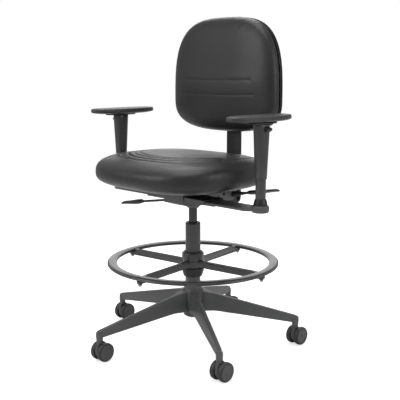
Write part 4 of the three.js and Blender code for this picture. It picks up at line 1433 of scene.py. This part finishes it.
    def build(self) -> None:
        """Makes the cover, blows it up, and sews it."""
        obj = self.blank(self.shrunk, self.swell_room).build(self.piece)
        voxels = obj.modifiers.new("voxels", "REMESH")
        voxels.mode, voxels.voxel_size = "VOXEL", self.voxel * MM
        voxels.use_smooth_shade = True
        settle(obj)
        self.relaxed(obj, 4, 0)
        self.blown(obj)
        self.relaxed(obj, self.softening, 0)
        self.fitted(obj)
        self.relaxed(obj, 1, 1)
        self.sewn(obj)
        obj.data.shade_smooth()
        self.add(obj, self.body, VINYL, self.node)
        self.trimmed(obj)


@dataclass
class Seat(Cushion):
    """The seat: a wide pad with a waterfall front, a rim seam and three nested sewn arcs."""

    node: str = "seat_cushion"
    body: str = "seat"
    piece: str = "seat_cover"
    cap: float = 12.0
    middle: float = -55
    half: tuple[float, float] = (258, 232)
    softening: int = 10
    crown: float = 6.0
    widest: float = 574
    rim_half: tuple[float, float] = (201, 174)
    rim_middle: float = -35
    arc_middle: float = -40
    front_fall: float = 24
    rear_fall: float = 8
    dome: float = 8

    def blank(self, small: float, room: float) -> Form:
        """Returns the seat's foam."""
        low, high = corners(self.node)

        def rule(x: np.ndarray, y: np.ndarray, height: float, inward: float) -> np.ndarray:
            """Lays a ring of the seat out."""
            front = np.clip(-y / (self.half[1] * small), 0, 1)
            rear = np.clip(y / (self.half[1] * small), 0, 1)
            if height > 0:
                fall = self.front_fall * front ** 3 + self.rear_fall * rear ** 2
                z = self.widest + (high[2] - room - self.widest - fall) * height
                z = z - self.dome * (1 - inward ** 2) * height
            else:
                z = self.widest + (self.widest - low[2]) * height
            return np.column_stack((x, self.middle + y, np.broadcast_to(z, x.shape)))

        return padded(lambda a: squircle(a, self.half[0] * small, self.half[1] * small, 2.9), rule,
                      (3.6, 2.6), 120, 60)

    def lines(self) -> list[SewnLine]:
        """Returns the rim seam and the three arcs nested inside it."""
        rim = oval(*self.rim_half, 3.0, 140) + np.array((0, self.rim_middle))
        found = [SewnLine("rim", rim, 1.8, 3.4, closed=True, thread=False, welt=1.4)]
        for name, wide, deep, exponent in (("inner_arc", 170, 108, 2.0), ("middle_arc", 183, 127, 2.1),
                                           ("outer_arc", 193, 149, 2.3)):
            turn = np.linspace(math.pi + 0.05, 2 * math.pi - 0.05, 70)
            reach = squircle(turn, wide, deep, exponent)
            arc = np.column_stack((reach * np.cos(turn), reach * np.sin(turn) + self.arc_middle))
            found.append(SewnLine(name, arc, 2.4, 3.4))
        return found

    def held(self, points: np.ndarray) -> np.ndarray:
        """Holds the underside, where the seat board is."""
        return np.clip((545 - points[:, 2]) / 12, 0, 1)

    def flat(self, points: np.ndarray) -> np.ndarray:
        """Drops the height."""
        return points[:, :2]

    def facing(self) -> np.ndarray:
        """Faces up."""
        return np.array((0.0, 0.0, 1.0))

    def raised(self, u: float, v: float) -> np.ndarray:
        """Returns a plan point inside the seat."""
        return np.array((u, v, self.widest))

    def build(self) -> None:
        """Makes the seat and finishes its pan."""
        super().build()
        self.carry("seat_pan", SHELL, 1.0)


@dataclass
class Back(Cushion):
    """The back: a D-shaped pad on a moulded shell, with two lines sewn across the lumbar."""

    node: str = "back_cushion"
    body: str = "back"
    piece: str = "back_cover"
    cap: float = 7.0
    pressure: float = 2.5
    softening: int = 14
    half_width: float = 224
    widest: float = 800
    curve: float = 4
    rear_depth: float = 16
    shell_front: float = 174
    welt_line: float = 170.2
    welt_radius: float = 1.7

    def reach(self, turn: np.ndarray) -> np.ndarray:
        """Gives the D-shaped outline's distance from its centre at each angle."""
        low, high = corners(self.node)
        upper = squircle(turn, self.half_width, high[2] - self.widest, 3.2)
        lower = squircle(turn, self.half_width, self.widest - low[2], 2.8)
        return np.where(np.sin(turn) > 0, upper, lower)

    def bow(self, x: np.ndarray) -> np.ndarray:
        """Gives how far the pad's edges stand ahead of its middle."""
        return self.curve * (x / self.half_width) ** 2

    def blank(self, small: float, room: float) -> Form:
        """Returns the back's foam, with a lumbar swell."""
        low, high = corners(self.node)
        seam = high[1] - self.rear_depth

        def rule(x: np.ndarray, z: np.ndarray, height: float, inward: float) -> np.ndarray:
            """Lays a ring of the back out."""
            x, z = x * small, z * small
            depth = (seam - low[1] - room) if height > 0 else self.rear_depth
            lumbar = 5 * np.exp(-((z - 40) / 52) ** 2) * max(height, 0) * (1 - inward ** 4)
            y = seam - height * depth - lumbar - self.bow(x)
            return np.column_stack((-x, y, self.widest + z))

        return padded(self.reach, rule, (2.9, 5.5), 112, 48)

    def lines(self) -> list[SewnLine]:
        """Returns the two lines across the lumbar."""
        across = np.linspace(-1, 1, 41)
        found = []
        for name, height, half, sag in (("upper_line", 865, 142, 1.5), ("lower_line", 818, 158, 2.5)):
            path = np.column_stack((across * half, height + sag * across ** 2))
            found.append(SewnLine(name, path, 0.9, 3.2))
        return found

    def held(self, points: np.ndarray) -> np.ndarray:
        """Holds the rear, where the shell is."""
        return np.clip((points[:, 1] - 150) / 10, 0, 1)

    def flat(self, points: np.ndarray) -> np.ndarray:
        """Drops the depth."""
        return points[:, [0, 2]]

    def facing(self) -> np.ndarray:
        """Faces forward."""
        return np.array((0.0, -1.0, 0.0))

    def raised(self, u: float, v: float) -> np.ndarray:
        """Returns a front-view point inside the back."""
        return np.array((u, 140.0, v))

    def shell(self) -> Form:
        """Returns the moulded shell: a shallow bowl with a stepped border round its rear face."""

        def rule(x: np.ndarray, z: np.ndarray, height: float, inward: float) -> np.ndarray:
            """Lays a ring of the shell out."""
            depth = 2 if height > 0 else 13
            step = 1.3 * blend_step(inward, 0.84, 0.88) if height < 0 else 0
            y = self.shell_front - height * depth - self.bow(x) - step * (1 - blend_step(inward, 0.97, 0.99))
            return np.column_stack((-x, y, self.widest + z))

        return padded(self.reach, rule, (8, 3.2), 128, 64)

    def rim_welt(self) -> Form:
        """Returns the cord in the joint between the cover and the shell."""
        turn = np.linspace(0, 2 * math.pi, 150, endpoint=False)
        edge = self.reach(turn) * 0.985
        x, z = edge * np.cos(turn), edge * np.sin(turn)
        path = np.column_stack((-x, self.welt_line - self.bow(x), self.widest + z))
        return cord(path, self.welt_radius, np.tile((0.0, 1.0, 0.0), (len(path), 1)), True)

    def upright(self) -> Form:
        """Returns the flat upright that turns forward under the seat."""
        side = rounded([(66, 452, 1), (201, 452, 16), (201, 862, 2), (194, 862, 2), (194, 459, 9),
                        (66, 459, 1)], steps=8)
        return plate(side, -31, 31, edge=1.3).sideways()

    def carrier(self) -> bpy.types.Object:
        """Returns the sleeve that slides on the upright, with its slot."""
        side = rounded([(187.3, 770, 1), (205, 770, 3), (208, 778, 3), (208, 884, 8), (201, 900, 6),
                        (187.3, 900, 1)])
        body = plate(side, -40, 40, edge=3.0, steps=4).sideways()
        slot = plate(np.array([(193.7, 765.0), (201.3, 765.0), (201.3, 894.0), (193.7, 894.0)]), -31.3,
                     31.3, edge=0.3).sideways()
        return carved("back_carrier_moulding", body, [], [slot])

    def build(self) -> None:
        """Makes the cover, the shell, the welt, the upright, the carrier and its screws."""
        super().build()
        self.add(self.shell().build("back_shell_moulding"), "back", SHELL, "back_shell")
        # The rim welt's finish is lighter than the vinyl: a painted highlight along the joint.
        self.add(self.rim_welt().build("back_rim_welt"), "back", HIGHLIT_WELT)
        self.add(self.upright().build("back_upright_bar"), "back_frame", UPRIGHT, "back_upright")
        self.add(self.carrier(), "back", BLACK, "back_carrier")
        screws = [Bolt(5.2, 3.0).form().turned(-90, Axis.X).moved(x, 187.0 - 1.2, z)
                  for x in (-62, 62) for z in (790, 880)]
        self.add(gathered(screws).build("back_shell_screws"), "back", PIN)


# ---------------------------------------------------------------- studio


@dataclass(frozen=True)
class SoftBox:
    """A square studio light."""

    name: str
    azimuth: float
    elevation: float
    distance: float
    size: float
    watts: float

    def build(self, target: Vector) -> None:
        """Makes the light and aims it.

        Args:
            target: The point that it faces.
        """
        data = bpy.data.lights.new(self.name, "AREA")
        data.shape, data.size, data.energy = "SQUARE", self.size, self.watts
        light = bpy.data.objects.new(self.name, data)
        light.visible_camera = False
        bpy.context.scene.collection.objects.link(light)
        rise = math.radians(self.elevation)
        way = Vector(heading(self.azimuth)) * math.cos(rise) + Vector((0, 0, math.sin(rise)))
        light.location = target + way * self.distance
        light.rotation_euler = (-way).to_track_quat("-Z", "Y").to_euler()


@dataclass(frozen=True)
class Studio:
    """The camera, the pale floor and the soft light."""

    distance: float = 2.3809
    height: float = 0.8985
    azimuth: float = 45
    pitch: float = 9.5507
    lens: float = 66.916
    shift: tuple[float, float] = (0.01763, -0.01363)
    sky: float = 0.42
    floor_lift: float = 0.62

    def camera(self) -> None:
        """Makes the camera and hands it to the scene."""
        data = bpy.data.cameras.new("camera")
        data.sensor_width, data.lens = 36, self.lens
        data.shift_x, data.shift_y = self.shift
        data.clip_end = 50
        obj = bpy.data.objects.new("camera", data)
        bpy.context.scene.collection.objects.link(obj)
        spot = heading(self.azimuth) * self.distance
        obj.location = (AXIS.x + spot[0], AXIS.y + spot[1], self.height)
        obj.rotation_euler = (math.radians(90 - self.pitch), 0, math.radians(self.azimuth))
        bpy.context.scene.camera = obj

    def floor(self) -> None:
        """Makes the pale floor."""
        mesh = bpy.data.meshes.new("floor")
        reach = 30.0
        mesh.from_pydata([(-reach, -reach, 0), (reach, -reach, 0), (reach, reach, 0), (-reach, reach, 0)],
                         [], [(0, 1, 2, 3)])
        obj = bpy.data.objects.new("floor", mesh)
        bpy.context.scene.collection.objects.link(obj)
        paint = bpy.data.materials.new("pale_floor")
        paint.use_nodes = True
        paint.node_tree.nodes.clear()
        graph = Graph(paint.node_tree)
        matt = graph.node("ShaderNodeBsdfDiffuse", {"Color": (0.9, 0.9, 0.9, 1)})
        seen = graph.node("ShaderNodeLightPath").outputs["Is Camera Ray"]
        lift = graph.node("ShaderNodeEmission", {"Strength": graph.maths("MULTIPLY", seen, self.floor_lift)})
        both = graph.node("ShaderNodeAddShader", {0: matt.outputs[0], 1: lift.outputs[0]})
        graph.node("ShaderNodeOutputMaterial", {"Surface": both.outputs[0]})
        mesh.materials.append(paint)

    def light(self) -> None:
        """Makes the white surround and the soft boxes."""
        world = bpy.data.worlds.new("surround")
        world.use_nodes = True
        world.node_tree.nodes.clear()
        graph = Graph(world.node_tree)
        seen = graph.node("ShaderNodeLightPath").outputs["Is Camera Ray"]
        level = graph.ranged(seen, 0.0, 1.0, self.sky, 1.0)
        back = graph.node("ShaderNodeBackground", {"Color": (1, 1, 1, 1), "Strength": level})
        graph.node("ShaderNodeOutputWorld", {"Surface": back.outputs[0]})
        bpy.context.scene.world = world
        middle = Vector((AXIS.x, AXIS.y, 0.55))
        for box in (SoftBox("overhead", 30, 80, 2.2, 1.6, 20), SoftBox("key", -22, 26, 2.6, 1.4, 19),
                    SoftBox("fill", 104, 18, 2.8, 1.1, 12), SoftBox("rim", 225, 15, 2.8, 2.0, 12),
                    SoftBox("hair", 225, 56, 2.4, 1.2, 14)):
            box.build(middle)

    def build(self) -> None:
        """Makes the whole studio."""
        self.camera()
        self.floor()
        self.light()
        bpy.context.scene.view_settings.view_transform = "Standard"


def main() -> None:
    """Builds the studio, the shared groups and every assembly of the chair."""
    logging.basicConfig(level=logging.INFO, format="%(name)s: %(message)s", stream=sys.stdout)
    Studio().build()
    for group in (leather_grain, moulded_texture, paint_peel, turned_lines, edge_wear, settled_dust,
                  uneven_tone):
        group()
    assemblies = [StarBase(), Casters(), GasColumn(), FootRing(), Mechanism(), Arm("left"), Arm("right"),
                  Seat(), Back()]
    for assembly in assemblies:
        assembly.build()
        assembly.dress()


if __name__ == "__main__":
    main()
